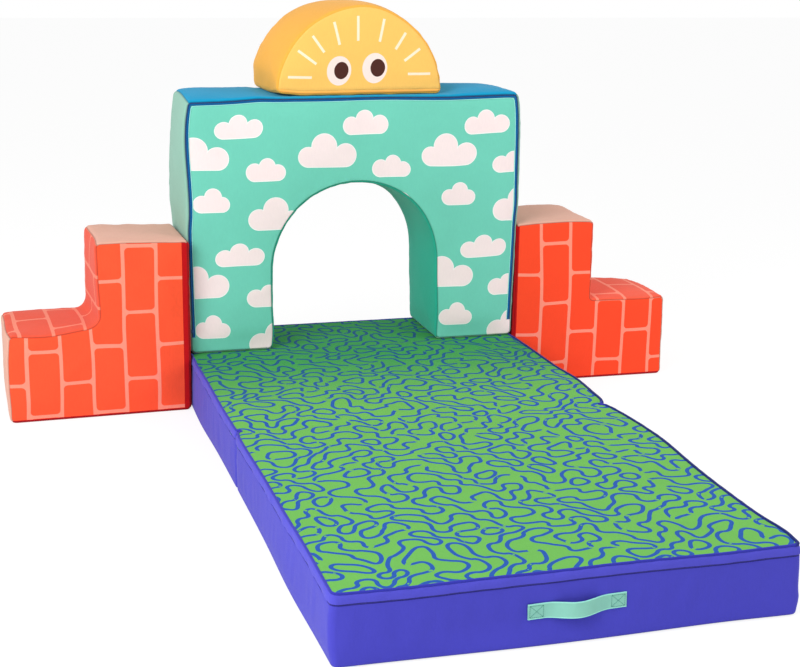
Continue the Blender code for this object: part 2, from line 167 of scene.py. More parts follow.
def distances(points: np.ndarray) -> np.ndarray:
    """The distance along a line to each of its points."""
    steps = np.linalg.norm(np.diff(points, axis=0), axis=1)
    return np.concatenate([[0.0], np.cumsum(steps)])


def squared(places: np.ndarray, ups: np.ndarray) -> tuple[np.ndarray, np.ndarray]:
    """A line's direction at each point, and the upward one at right angles to it."""
    runs = np.gradient(places, axis=0)
    runs /= np.linalg.norm(runs, axis=1, keepdims=True)
    ups = ups - runs * np.sum(ups * runs, axis=1, keepdims=True)
    return runs, ups / np.linalg.norm(ups, axis=1, keepdims=True)


def ripples(places: np.ndarray, wavelength: float, seed: int, waves: int = 8) -> np.ndarray:
    """Smooth seeded waves of about one size.

    Args:
        places: Points, one per row.
        wavelength: The usual distance between two crests.
        seed: The seed of the waves' directions and starts.
        waves: How many plain waves are added up.

    Returns:
        A value from about -1.5 to 1.5 for each place.
    """
    draw = np.random.default_rng(seed)
    total = np.zeros(len(places))
    for _ in range(waves):
        heading = draw.normal(size=places.shape[1])
        heading /= np.linalg.norm(heading)
        length = wavelength * draw.uniform(0.7, 1.5)
        total += np.sin(math.tau * (places @ heading) / length + draw.uniform(0, math.tau))
    return total * math.sqrt(2 / waves)


class Signal:
    """A shader socket that takes part in Python expressions on values."""

    def __init__(self, nodes: "Nodes", socket: bpy.types.NodeSocket) -> None:
        """Keeps the tree that the socket is in."""
        self.nodes = nodes
        self.socket = socket

    def __add__(self, other: "Value") -> "Signal":
        """The sum."""
        return self.nodes.maths("ADD", self, other)

    __radd__ = __add__

    def __sub__(self, other: "Value") -> "Signal":
        """The difference."""
        return self.nodes.maths("SUBTRACT", self, other)

    def __rsub__(self, other: "Value") -> "Signal":
        """The difference, the other way round."""
        return self.nodes.maths("SUBTRACT", other, self)

    def __mul__(self, other: "Value") -> "Signal":
        """The product."""
        return self.nodes.maths("MULTIPLY", self, other)

    __rmul__ = __mul__

    def __truediv__(self, other: "Value") -> "Signal":
        """The quotient."""
        return self.nodes.maths("DIVIDE", self, other)

    def __mod__(self, other: "Value") -> "Signal":
        """The remainder, never below 0."""
        return self.nodes.maths("FLOORED_MODULO", self, other)

    def __lt__(self, other: "Value") -> "Signal":
        """1 where it is less, else 0."""
        return self.nodes.maths("LESS_THAN", self, other)

    def __gt__(self, other: "Value") -> "Signal":
        """1 where it is more, else 0."""
        return self.nodes.maths("GREATER_THAN", self, other)

    def __abs__(self) -> "Signal":
        """The size without the sign."""
        return self.nodes.maths("ABSOLUTE", self)

    def floor(self) -> "Signal":
        """The whole number below."""
        return self.nodes.maths("FLOOR", self)

    def least(self, other: "Value") -> "Signal":
        """The smaller of the two."""
        return self.nodes.maths("MINIMUM", self, other)

    def most(self, other: "Value") -> "Signal":
        """The larger of the two."""
        return self.nodes.maths("MAXIMUM", self, other)

    def rise(self, low: float, high: float) -> "Signal":
        """A smooth rise from 0 at low to 1 at high."""
        inputs = {"Value": self, "From Min": low, "From Max": high}
        return self.nodes.node("ShaderNodeMapRange", inputs, interpolation_type="SMOOTHSTEP")

    def out(self, name: str) -> "Signal":
        """Another output of the same node."""
        return Signal(self.nodes, self.socket.node.outputs[name])


Value = Signal | float


class Nodes:
    """The node tree of a material or a world, with one method that makes its nodes."""

    def __init__(self, owner: str | bpy.types.World) -> None:
        """Starts an empty material of that name, or empties the world."""
        self.owner = bpy.data.materials.new(owner) if isinstance(owner, str) else owner
        self.owner.use_nodes = True
        self.tree = self.owner.node_tree
        self.tree.nodes.clear()

    def node(
        self,
        kind: str,
        inputs: dict[int | str, object] | None = None,
        output: int | str = 0,
        **settings: object,
    ) -> Signal:
        """Makes a node.

        Args:
            kind: The node's type.
            inputs: A value or a Signal for each socket that is given, by name or number.
            output: The output to return.
            **settings: The node's own settings, which are set before its sockets.

        Returns:
            The output as a Signal.
        """
        made = self.tree.nodes.new(kind)
        for name, value in settings.items():
            setattr(made, name, value)
        for key, value in (inputs or {}).items():
            if isinstance(value, Signal):
                self.tree.links.new(value.socket, made.inputs[key])
            else:
                made.inputs[key].default_value = value
        return Signal(self, made.outputs[output])

    def maths(self, operation: str, *values: Value) -> Signal:
        """A Math node on the values."""
        return self.node("ShaderNodeMath", dict(enumerate(values)), operation=operation)

    def vector(self, operation: str, *values: object) -> Signal:
        """A Vector Math node on vectors, with single numbers going to its Scale."""
        output = "Value" if operation in ("DISTANCE", "DOT_PRODUCT", "LENGTH") else "Vector"
        given = [value[:3] if isinstance(value, tuple) else value for value in values]
        inputs: dict[int | str, object] = dict(enumerate(given))
        if operation == "SCALE":
            inputs = {0: given[0], "Scale": given[1]}
        return self.node("ShaderNodeVectorMath", inputs, output, operation=operation)

    def join(self, x: Value, y: Value, z: Value = 0.0) -> Signal:
        """A vector of three values."""
        return self.node("ShaderNodeCombineXYZ", {0: x, 1: y, 2: z})

    def split(self, vector: Signal) -> tuple[Signal, Signal, Signal]:
        """The three parts of a vector."""
        first = self.node("ShaderNodeSeparateXYZ", {0: vector}, "X")
        return first, first.out("Y"), first.out("Z")

    def blend(self, share: Value, first: object, second: object) -> Signal:
        """A mix of two colours, from first at 0 to second at 1."""
        return self.node("ShaderNodeMix", {0: share, 6: first, 7: second}, 2, data_type="RGBA")

    def noise(self, place: Signal, scale: float, detail: float = 2.0, bend: float = 0.0) -> Signal:
        """Noise from 0 to 1, with its middle near 0.5."""
        inputs = {"Vector": place, "Scale": scale, "Detail": detail, "Distortion": bend}
        return self.node("ShaderNodeTexNoise", inputs)

    def away(self, place: Signal, centre: Sequence[float]) -> Signal:
        """The distance from a point."""
        at = (*centre, 0.0)[:3]
        return self.vector("DISTANCE", place, at)

    def bump(self, strength: float, distance: float, height: Signal) -> Signal:
        """A normal that stands out with the height."""
        inputs = {"Strength": strength, "Distance": distance, "Height": height}
        return self.node("ShaderNodeBump", inputs)

    def surface(self, inputs: dict[int | str, object]) -> bpy.types.Material:
        """Ends the tree with a Principled shader and gives the material."""
        self.finish(self.node("ShaderNodeBsdfPrincipled", inputs), "ShaderNodeOutputMaterial")
        return self.owner

    def finish(self, shader: Signal, kind: str) -> None:
        """Links a shader to an output node of the kind."""
        made = self.tree.nodes.new(kind)
        self.tree.links.new(shader.socket, made.inputs["Surface"])

    def seen(self) -> Signal:
        """1 for the rays of the camera, of gloss and of glass, else 0."""
        path = self.node("ShaderNodeLightPath", output="Is Camera Ray")
        return path.most(path.out("Is Glossy Ray")).most(path.out("Is Transmission Ray"))


class Reading(Enum):
    """What a finish reads its pattern from."""

    CUT = "cloth"
    PLACE = "place"


@dataclass(frozen=True)
class Velour:
    """Short-pile cloth of one colour, such as the covers have."""

    name: str
    colour: Colour
    reading: Reading = Reading.CUT
    roughness: float = 0.88
    sheen: float = 0.12
    mottle: float = 0.10
    pile: float = 1.0
    seam_shade: float = 0.62

    BRUSHED = 11.0
    STROKES = (260.0, 70.0, 160.0)
    FIBRES = 1500.0
    NAP = 190.0
    SHADE_WIDTH = 0.0032

    def print(self, nodes: Nodes, flat: Signal) -> object:
        """The cloth's colour before its pile and shading."""
        return linear(self.colour)

    def flat(self, nodes: Nodes) -> Signal:
        """The coordinates of the pattern, in metres."""
        if self.reading is Reading.CUT:
            return nodes.node("ShaderNodeUVMap", uv_map="cloth")
        return nodes.node("ShaderNodeTexCoord", output="Object")

    def material(self) -> bpy.types.Material:
        """The finished material."""
        nodes = Nodes(self.name)
        flat = self.flat(nodes)
        pile_and_painted_shade = nodes.noise(flat, self.BRUSHED, 3.0, 0.8)
        strokes = nodes.noise(nodes.vector("MULTIPLY", flat, self.STROKES), 1.0, 3.0)
        fibres = nodes.noise(flat, self.FIBRES, 2.0)
        tone = 1 + self.mottle * (pile_and_painted_shade - 0.5) + self.mottle * 0.7 * (strokes - 0.5)
        tone = tone + self.mottle * 0.8 * (fibres - 0.5)
        # Painted shade along the seams where seam_shade is below 1, and a painted highlight where it is
        # above 1.
        if self.seam_shade != 1:
            seam = nodes.node("ShaderNodeAttribute", output="Fac", attribute_name="seam")
            tone = tone * (self.seam_shade + (1 - self.seam_shade) * seam.rise(0.0, self.SHADE_WIDTH))
        colour = nodes.vector("SCALE", self.print(nodes, flat), tone)
        height = fibres * 0.6 + strokes * 0.5 + nodes.noise(flat, self.NAP, 2.0) * 0.8
        bump = nodes.bump(0.35 * self.pile, 0.0009, height)
        return nodes.surface(
            {
                "Base Color": colour,
                "Roughness": self.roughness,
                "Specular IOR Level": 0.18,
                "Sheen Weight": self.sheen,
                "Sheen Roughness": 0.45,
                "Normal": bump,
            }
        )


@dataclass(frozen=True)
class Cloud:
    """A cloud of three round lobes on a flat foot, in metres from its middle."""

    x: float
    y: float
    lobes: tuple[tuple[float, float, float], ...]
    foot: float


CLOUDS = (
    Cloud(
        0.0, 0.0, ((-0.033, -0.0069, 0.0195), (-0.0013, 0.0055, 0.0208), (0.034, -0.0062, 0.0202)), 0.0264
    ),
    Cloud(
        -0.087, -0.058, ((-0.043, -0.0145, 0.0225), (-0.008, 0.008, 0.029), (0.040, -0.011, 0.026)), 0.037
    ),
    Cloud(
        0.060, -0.096, ((-0.0245, -0.005, 0.020), (0.004, 0.006, 0.0188), (0.027, -0.0072, 0.0178)), 0.025
    ),
    Cloud(
        0.076, -0.1935, ((-0.034, -0.0125, 0.025), (0.004, 0.009, 0.0285), (0.038, -0.016, 0.0215)), 0.0375
    ),
    Cloud(
        -0.064, -0.160, ((-0.0205, -0.008, 0.019), (0.004, 0.0075, 0.019), (0.023, -0.0095, 0.0175)), 0.027
    ),
)


@dataclass(frozen=True)
class Piping(Velour):
    """Piping that is thicker along the mat's right side, where painted shade darkens it."""

    # The cord's colour where painted shade darkens it, on the right side.
    dark: Colour = (12, 30, 104)

    DARK_FROM = (0.372, 0.382)
    THICK_FROM = (0.366, 0.380)

    def print(self, nodes: Nodes, flat: Signal) -> object:
        """The cord's colour, with painted shade that darkens it towards the right."""
        across, _, _ = nodes.split(flat)
        return nodes.blend(across.rise(*self.DARK_FROM), linear(self.colour), linear(self.dark))


@dataclass(frozen=True)
class CloudPrint(Velour):
    """Velour printed with clouds that repeat in a square tile."""

    ink: Colour = (247, 227, 227)
    rim: Colour = (246, 242, 240)
    tile: tuple[float, float] = (0.2834, 0.2855)
    start: tuple[float, float] = (-0.2653, 0.5065)

    RIM_WIDTH = 0.0016

    def print(self, nodes: Nodes, flat: Signal) -> object:
        """The ground with its clouds, each with a thin paler rim."""
        high = (self.tile[0] / 2, self.tile[1] / 2, 1.0)
        low = (-high[0], -high[1], -1.0)
        nearest: Value | None = None
        for cloud in CLOUDS:
            centre = (self.start[0] + cloud.x, self.start[1] + cloud.y, 0.0)
            here = nodes.vector("WRAP", nodes.vector("SUBTRACT", flat, centre), high, low)
            left, right = cloud.lobes[0], cloud.lobes[-1]
            middle = ((left[0] + right[0]) / 2, -cloud.foot / 2, 0.0)
            past = nodes.vector("ABSOLUTE", nodes.vector("SUBTRACT", here, middle))
            half = ((right[0] - left[0]) / 2, cloud.foot / 2, 0.0)
            x, y, _ = nodes.split(nodes.vector("SUBTRACT", past, half))
            edge = x.most(y)
            for lobe_x, lobe_y, radius in cloud.lobes:
                edge = edge.least(nodes.away(here, (lobe_x, lobe_y)) - radius)
            nearest = edge if nearest is None else nearest.least(edge)
        rimmed = nodes.blend(nearest < 0.0, linear(self.colour), linear(self.rim))
        return nodes.blend(nearest < -self.RIM_WIDTH, rimmed, linear(self.ink))


@dataclass(frozen=True)
class BrickPrint(Velour):
    """Velour printed with bricks on end, in columns that are half a brick apart."""

    mortar: Colour = (255, 146, 122)
    column: float = 0.0705
    brick: float = 0.1462
    joint: float = 0.0075
    rounding: float = 0.0085
    start: tuple[float, float] = (0.0, 0.0)
    wrap: float = 0.0
    wrap_colour: Colour = (190, 3, 14)
    foot: float = 0.0070

    def print(self, nodes: Nodes, flat: Signal) -> object:
        """The bricks with their mortar, and the side's cloth where it wraps on to the front."""
        u, v, _ = nodes.split(nodes.vector("SUBTRACT", flat, (*self.start, 0.0)))
        turn = ((u / self.column).floor() % 2.0) * (self.brick / 2)
        across = abs((u % self.column) - self.column / 2) - (self.column - self.joint) / 2
        along = abs(((v + turn) % self.brick) - self.brick / 2) - (self.brick - self.joint) / 2
        x, y = (across + self.rounding).most(0.0), (along + self.rounding).most(0.0)
        edge = nodes.vector("LENGTH", nodes.join(x, y)) - self.rounding
        bricks = nodes.blend(edge > 0.0, linear(self.colour), linear(self.mortar))
        if not self.wrap:
            return bricks
        x, y, _ = nodes.split(flat)
        side = math.copysign(1.0, self.wrap)
        wrapped = (x * side > -abs(self.wrap)).most(y < self.foot)
        return nodes.blend(wrapped, bricks, linear(self.wrap_colour))


@dataclass(frozen=True)
class SunPrint(Velour):
    """Velour printed with rays that stand in a half circle, and on the front two round eyes."""

    ink: Colour = (255, 234, 205)
    white: Colour = (252, 228, 220)
    dark: Colour = (77, 39, 32)
    # The ground's colour under the crease at the foot, as painted shade.
    under: Colour = (247, 166, 74)
    eyes: bool = True

    RAYS = (
        (-0.1668, 0.0406, -0.1125, 0.0395),
        (-0.145, 0.0991, -0.1035, 0.0699),
        (-0.1112, 0.1315, -0.0855, 0.0959),
        (-0.0618, 0.1607, -0.0503, 0.1116),
        (-0.0074, 0.1707, -0.0078, 0.1178),
        (0.0538, 0.1635, 0.0422, 0.114),
        (0.1033, 0.1357, 0.0785, 0.0978),
        (0.1366, 0.1018, 0.0985, 0.0732),
        (0.163, 0.0462, 0.1075, 0.0444),
    )
    RAY_HALF = 0.0029
    EYES = (((-0.0505, 0.0543), (-0.0452, 0.0547)), ((0.0313, 0.057), (0.0381, 0.057)))
    EYE_RADII = (0.0281, 0.0326, 1.0)
    PUPIL_RADII = (0.0166, 0.0193, 1.0)
    CREASE_SHADE = (0.004, 0.014)

    def print(self, nodes: Nodes, flat: Signal) -> object:
        """The ground, with painted shade under the crease at its foot, and its rays and eyes."""
        _, up, _ = nodes.split(flat)
        ground = nodes.blend(up.rise(*self.CREASE_SHADE), linear(self.under), linear(self.colour))
        nearest: Value | None = None
        for x0, y0, x1, y1 in self.RAYS:
            long = math.hypot(x1 - x0, y1 - y0)
            run = ((x1 - x0) / long, (y1 - y0) / long, 0.0)
            here = nodes.vector("SUBTRACT", flat, ((x0 + x1) / 2, (y0 + y1) / 2, 0.0))
            along = nodes.vector("DOT_PRODUCT", here, run)
            across = nodes.vector("DOT_PRODUCT", here, (-run[1], run[0], 0.0))
            edge = (abs(along) - long / 2).most(abs(across) - self.RAY_HALF)
            nearest = edge if nearest is None else nearest.least(edge)
        colour = nodes.blend(nearest < 0.0, ground, linear(self.ink))
        if not self.eyes:
            return colour
        for eye, pupil in self.EYES:
            for centre, radii, ink in (
                (eye, self.EYE_RADII, self.white),
                (pupil, self.PUPIL_RADII, self.dark),
            ):
                here = nodes.vector("SUBTRACT", flat, (*centre, 0.0))
                ratio = nodes.vector("DIVIDE", here, radii)
                inside = nodes.vector("LENGTH", ratio) < 1.0
                colour = nodes.blend(inside, colour, linear(ink))
        return colour


@dataclass(frozen=True)
class SquigglePrint(Velour):
    """Velour printed with loose winding lines, made of quarter rings in a bent grid of cells.

    Towards the far end, by the arch, it is darkened with painted shade.
    """

    ink: Colour = (30, 84, 168)
    far_ink: Colour = (20, 100, 140)
    # The tone and ink towards the far end, by the arch: the tone is painted shade.
    far_painted_shade: Point = (0.25, 0.69, 0.86)
    cell: float = 0.037
    line: float = 0.0074
    broken: float = 0.17
    waves: tuple[tuple[float, float], ...] = ((0.33, 1.7), (0.8, 0.62))

    STEP = 0.04
    BREAK_RADIUS = 0.19
    BREAK_AT = 0.293
    BREAK_TURNS = (math.radians(45 - 22), math.radians(45 + 22))
    FAR = (0.05, 0.50)

    def bent(self, nodes: Nodes, cells: Signal) -> Signal:
        """The grid's coordinates, bent so that no two cells are alike."""
        here = cells
        for scale, reach in self.waves:
            inputs = {"Vector": cells, "Scale": scale, "Detail": 0.0}
            wave = nodes.node("ShaderNodeTexNoise", inputs, "Color")
            bend = nodes.vector("SCALE", nodes.vector("SUBTRACT", wave, (0.5, 0.5, 0.5)), reach)
            here = nodes.vector("ADD", here, bend)
        return nodes.vector("MULTIPLY", here, (1.0, 1.0, 0.0))

    def print(self, nodes: Nodes, flat: Signal) -> object:
        """The ground with its winding lines, which keep their width where the grid is bent."""
        cells = nodes.vector("SCALE", flat, 1 / self.cell)
        here = self.bent(nodes, cells)
        pulls = []
        for way in ((self.STEP, 0.0, 0.0), (0.0, self.STEP, 0.0)):
            there = self.bent(nodes, nodes.vector("ADD", cells, way))
            pulls.append(nodes.vector("SCALE", nodes.vector("SUBTRACT", there, here), 1 / self.STEP))
        corner = nodes.vector("FLOOR", here)
        inside = nodes.vector("SUBTRACT", here, corner)
        u, v, _ = nodes.split(nodes.vector("SUBTRACT", inside, (0.5, 0.5, 0.0)))
        drawn = nodes.node("ShaderNodeTexWhiteNoise", {"Vector": corner}, "Color", noise_dimensions="2D")
        turn, first, second = nodes.split(drawn)
        mirror = (turn > 0.5) * 2.0 - 1.0
        place = nodes.join(u * mirror, v)
        edge: Value = 1.0
        for draw, side in ((first, -0.5), (second, 0.5)):
            off = nodes.away(place, (side, side))
            away = nodes.join((u * mirror - side) * mirror, v - side)
            slopes = [nodes.vector("DOT_PRODUCT", away, pull) for pull in pulls]
            slope = nodes.vector("LENGTH", nodes.join(*slopes)) / off
            arc = abs(off - 0.5)
            broken_at = (side * self.BREAK_AT, side * self.BREAK_AT)
            gap = self.BREAK_RADIUS - nodes.away(place, broken_at)
            ends = [
                nodes.away(place, (side - side * math.cos(turned), side - side * math.sin(turned)))
                for turned in self.BREAK_TURNS
            ]
            open_arc = arc.most(gap).least(ends[0].least(ends[1]))
            closed = draw > self.broken
            edge = ((arc * closed + open_arc * (1.0 - closed)) / slope).least(edge)
        half = self.line / self.cell / 2
        _, up, _ = nodes.split(flat)
        far = up.rise(*self.FAR)
        ink = nodes.blend(far, linear(self.ink), linear(self.far_ink))
        printed = nodes.blend(edge < half, linear(self.colour), ink)
        # Painted shade: the print darkens towards the far end, by the arch.
        pile_and_painted_shade = nodes.blend(far, (1.0, 1.0, 1.0, 1.0), (*self.far_painted_shade, 1.0))
        return nodes.vector("MULTIPLY", printed, pile_and_painted_shade)


@dataclass(frozen=True)
class Webbing:
    """Woven strap: ribs along it, and a fine weave across."""

    name: str
    colour: Colour
    edge_light: float = 1.38

    RIB = 0.0016
    PICK = 0.0011
    LIGHT_FROM = 0.0110

    def material(self) -> bpy.types.Material:
        """The finished material."""
        nodes = Nodes(self.name)
        flat = nodes.node("ShaderNodeUVMap", uv_map="cloth")
        u, v, _ = nodes.split(flat)
        ribs = abs((v / self.RIB) % 1.0 - 0.5)
        picks = abs(((u / self.PICK) + (v / self.RIB).floor() * 0.5) % 1.0 - 0.5)
        worn = nodes.noise(flat, 60.0, 3.0)
        tone = 0.93 + ribs * 0.12 + picks * 0.06 + (worn - 0.5) * 0.12
        tone = tone + (abs(v) > self.LIGHT_FROM) * (self.edge_light - 1)
        height = ribs * 1.2 + picks * 0.8
        bump = nodes.bump(0.5, 0.0006, height)
        return nodes.surface(
            {
                "Base Color": nodes.vector("SCALE", linear(self.colour), tone),
                "Roughness": 0.72,
                "Specular IOR Level": 0.3,
                "Sheen Weight": 0.1,
                "Normal": bump,
            }
        )


@dataclass(frozen=True)
class Moulded:
    """Plastic or enamelled metal with fine scuffs, for zips' teeth and sliders."""

    name: str
    colour: Colour
    metallic: float = 0.0
    roughness: float = 0.38

    def material(self) -> bpy.types.Material:
        """The finished material."""
        nodes = Nodes(self.name)
        place = nodes.node("ShaderNodeTexCoord", output="Object")
        scuffs = nodes.noise(place, 900.0, 3.0)
        dull = nodes.noise(place, 240.0, 2.0)
        bump = nodes.bump(0.2, 0.0002, scuffs)
        return nodes.surface(
            {
                "Base Color": nodes.vector("SCALE", linear(self.colour), 0.88 + 0.24 * dull),
                "Roughness": self.roughness + 0.2 * (scuffs - 0.4),
                "Metallic": self.metallic,
                "Normal": bump,
            }
        )


@dataclass(frozen=True)
class FoamFinish:
    """Open-cell foam: pale, matt and pitted."""

    name: str
    colour: Colour

    def material(self) -> bpy.types.Material:
        """The finished material."""
        nodes = Nodes(self.name)
        place = nodes.node("ShaderNodeTexCoord", output="Object")
        cells = nodes.node("ShaderNodeTexVoronoi", {"Vector": place, "Scale": 420.0})
        stain = nodes.noise(place, 14.0, 3.0)
        bump = nodes.bump(0.6, 0.0012, cells)
        tone = 0.86 + 0.16 * cells.rise(0.0, 0.6) + 0.08 * (stain - 0.5)
        return nodes.surface(
            {
                "Base Color": nodes.vector("SCALE", linear(self.colour), tone),
                "Roughness": 0.95,
                "Normal": bump,
            }
        )


Finish = Velour | Webbing | Moulded | FoamFinish


@functools.cache
def material_of(finish: Finish) -> bpy.types.Material:
    """The finish's material, made once."""
    return finish.material()


BRICK_RED: Colour = (255, 86, 50)
# The right wall's front bricks: BRICK_RED darkened, as painted shade.
BRICK_RIGHT_PAINTED_SHADE: Colour = (255, 74, 38)
# The steps' bricks, lit and shaded copies of BRICK_RED: painted sheen on the right step, painted shade on
# the left one.
BRICK_STEP_PAINTED_SHEEN: Colour = (242, 94, 68)
BRICK_STEP_PAINTED_SHADE: Colour = (229, 86, 61)
FOAM = FoamFinish("foam_open_cell", (238, 232, 214))
TEAL_CLOUDS = CloudPrint("velour_teal_clouds", (113, 203, 182))
TEAL_CLOUDS_BACK = CloudPrint("velour_teal_clouds_back", (113, 203, 182), start=(0.12, 0.30))
TEAL = Velour("velour_teal", (44, 174, 148))
MINT = Velour("velour_mint", (142, 190, 172))
SKY = Velour("velour_sky_blue", (8, 152, 198), sheen=0.07)
SUNNY = SunPrint("velour_sun_face", (254, 197, 102), seam_shade=0.95)
SUNNY_BACK = SunPrint("velour_sun_rays", (254, 197, 102), eyes=False)
AMBER = Velour("velour_amber", (243, 176, 71), seam_shade=0.95)
CAP = Velour("velour_salmon", (224, 170, 150))
DEEP_RED = Velour("velour_deep_red", (192, 3, 14))
SIDES = Velour("velour_violet", (72, 70, 190))
# The flap's cloth: a lighter copy of the side cloth, as painted light.
FLAP_PAINTED_LIGHT = Velour("velour_violet_flap_painted_light", (80, 78, 198))
BASE = Velour("velour_violet_base", (66, 64, 170))
WELT = Piping("welt_violet", (50, 52, 168), Reading.PLACE, seam_shade=1.0)
# The arch's welt: its pale colour is a painted highlight on the front's edge.
WELT_PAINTED_HIGHLIGHT = Velour("welt_teal_painted_highlight", (160, 236, 226), Reading.PLACE, seam_shade=1.0)
# A seam_shade above 1 paints a highlight along the printed sheet's edge.
SQUIGGLES = SquigglePrint("velour_green_squiggles", (106, 178, 82), sheen=0.03, seam_shade=1.5)
HANDLE = Webbing("webbing_mint", (140, 208, 188))
THREAD = Moulded("thread_teal", (44, 128, 114), roughness=0.7)
MAT_TAPE = Velour("tape_violet", (58, 54, 156), pile=0.4)
MAT_TEETH = Moulded("teeth_violet", (52, 48, 150))
NAVY_TAPE = Velour("tape_blue", (6, 104, 170), pile=0.4)
BLUE_TEETH = Moulded("teeth_navy", (8, 44, 104))
RED_TAPE = Velour("tape_red", (150, 10, 14), pile=0.4)
RED_TEETH = Moulded("teeth_red", (168, 14, 18))
AMBER_TAPE = Velour("tape_amber", (214, 150, 60), pile=0.4)
AMBER_TEETH = Moulded("teeth_amber", (226, 164, 70))
BLUE_METAL = Moulded("slider_blue", (16, 84, 150), roughness=0.3)
RED_METAL = Moulded("slider_red", (160, 16, 20), roughness=0.3)
AMBER_METAL = Moulded("slider_amber", (214, 150, 58), roughness=0.3)


@dataclass(frozen=True)
class Bend:
    """One rounded corner of an outline that runs anticlockwise. A negative sweep is a hollow."""

    x: float
    y: float
    radius: float
    start: float
    sweep: float

    SMALL = (0.0, 0.2, 0.38, 0.46, 0.5, 0.54, 0.62, 0.8, 1.0)
    BIG_STEPS = 24

    def points(self, inset: float) -> list[tuple[float, float]]:
        """The corner's points, with the outline moved inwards by inset."""
        radius = self.radius + math.copysign(inset, -self.sweep)
        big = self.radius > BIG_RADIUS
        shares = [i / self.BIG_STEPS for i in range(self.BIG_STEPS + 1)] if big else self.SMALL
        angles = [self.start + self.sweep * share for share in shares]
        return [(self.x + radius * math.cos(a), self.y + radius * math.sin(a)) for a in angles]


def square_bends(corners: Sequence[tuple[float, float, float]]) -> list[Bend]:
    """The bends of a right-angled outline, given anticlockwise as (x, y, radius)."""
    bends = []
    for i, (x, y, radius) in enumerate(corners):
        here = Vector((x, y))
        came = (here - Vector(corners[i - 1][:2])).normalized()
        goes = (Vector(corners[(i + 1) % len(corners)][:2]) - here).normalized()
        side = 1 if came.cross(goes) > 0 else -1
        inward_came = side * Vector((-came.y, came.x))
        inward_goes = side * Vector((-goes.y, goes.x))
        centre = here + radius * (inward_came + inward_goes)
        start = math.atan2(-inward_came.y, -inward_came.x)
        bends.append(Bend(centre.x, centre.y, radius, start, side * math.pi / 2))
    return bends


def half_disc_bends(radius: float, corner: float) -> list[Bend]:
    """The bends of a half disc on its flat side."""
    across = math.sqrt((radius - corner) ** 2 - corner**2)
    lift = math.atan2(corner, across)
    quarter = math.pi / 2 - lift
    return [
        Bend(across, corner, corner, -math.pi / 2, math.pi / 2 + lift),
        Bend(0, 0, radius, lift, quarter),
        Bend(0, 0, radius, math.pi / 2, quarter),
        Bend(-across, corner, corner, math.pi - lift, math.pi / 2 + lift),
    ]


@dataclass(frozen=True)
class Outline:
    """A closed line of bends and the straights between them."""

    bends: tuple[Bend, ...]
    inset: float = 0.0

    @functools.cached_property
    def drawn(self) -> tuple[np.ndarray, list[int]]:
        """The points without doubles, and the number of the point at each bend's middle."""
        points: list[tuple[float, float]] = []
        marks = []
        for bend in self.bends:
            made = bend.points(self.inset)
            middle = made[len(made) // 2]
            for point in made:
                if not points or math.dist(points[-1], point) > TINY:
                    points.append(point)
                if point == middle:
                    marks.append(len(points) - 1)
        if math.dist(points[0], points[-1]) < TINY:
            points.pop()
        return np.array(points), marks

    @property
    def points(self) -> np.ndarray:
        """The points, one per row."""
        return self.drawn[0]

    @property
    def ends(self) -> list[tuple[float, float]]:
        """The lowest and the highest place along each of the two axes."""
        return [(self.points[:, i].min(), self.points[:, i].max()) for i in range(2)]

    @functools.cached_property
    def lengths(self) -> np.ndarray:
        """The distance along the line to each point, and last the whole length."""
        return distances(np.vstack([self.points, self.points[:1]]))

    @property
    def marks(self) -> list[float]:
        """The distance along the line to each bend's middle."""
        return [float(self.lengths[i]) for i in self.drawn[1]]

    def locate(self, places: np.ndarray) -> tuple[np.ndarray, np.ndarray]:
        """Where places lie against the line.

        Args:
            places: Points in the outline's plane, one per row.

        Returns:
            The distance along the line to the nearest point on it, and how far in they lie.
        """
        best = np.full(len(places), np.inf)
        along = np.zeros(len(places))
        closed = np.vstack([self.points, self.points[:1]])
        for i in range(len(self.points)):
            start, run = closed[i], closed[i + 1] - closed[i]
            share = np.clip((places - start) @ run / (run @ run), 0.0, 1.0)
            off = np.linalg.norm(places - start - share[:, None] * run, axis=1)
            nearer = off < best - 1e-9
            best[nearer] = off[nearer]
            along[nearer] = (self.lengths[i] + share * np.linalg.norm(run))[nearer]
        return along, best


def spread(low: float, high: float, spacing: float) -> list[float]:
    """Even places between two ends, without the ends."""
    count = max(1, round((high - low) / spacing))
    return [low + (high - low) * i / count for i in range(1, count)]


@dataclass(frozen=True)
class Rest:
    """A box that the cover rests against, given by its lowest and highest corner."""

    low: Point
    high: Point

    def distance(self, places: np.ndarray) -> np.ndarray:
        """How far places are from the box."""
        past = np.maximum(np.array(self.low) - places, places - np.array(self.high))
        return np.linalg.norm(np.maximum(past, 0.0), axis=1)


@dataclass(frozen=True)
class Push:
    """A place where the foam has been pushed out of line, and how far and wide."""

    place: Point
    shift: Point
    reach: float | Point
    held: bool = True

    def moved(self, places: np.ndarray) -> np.ndarray:
        """How far each place moves."""
        off = np.linalg.norm((places - np.array(self.place)) / np.array(self.reach), axis=1)
        return np.exp(-(off**2))[:, None] * np.array(self.shift)


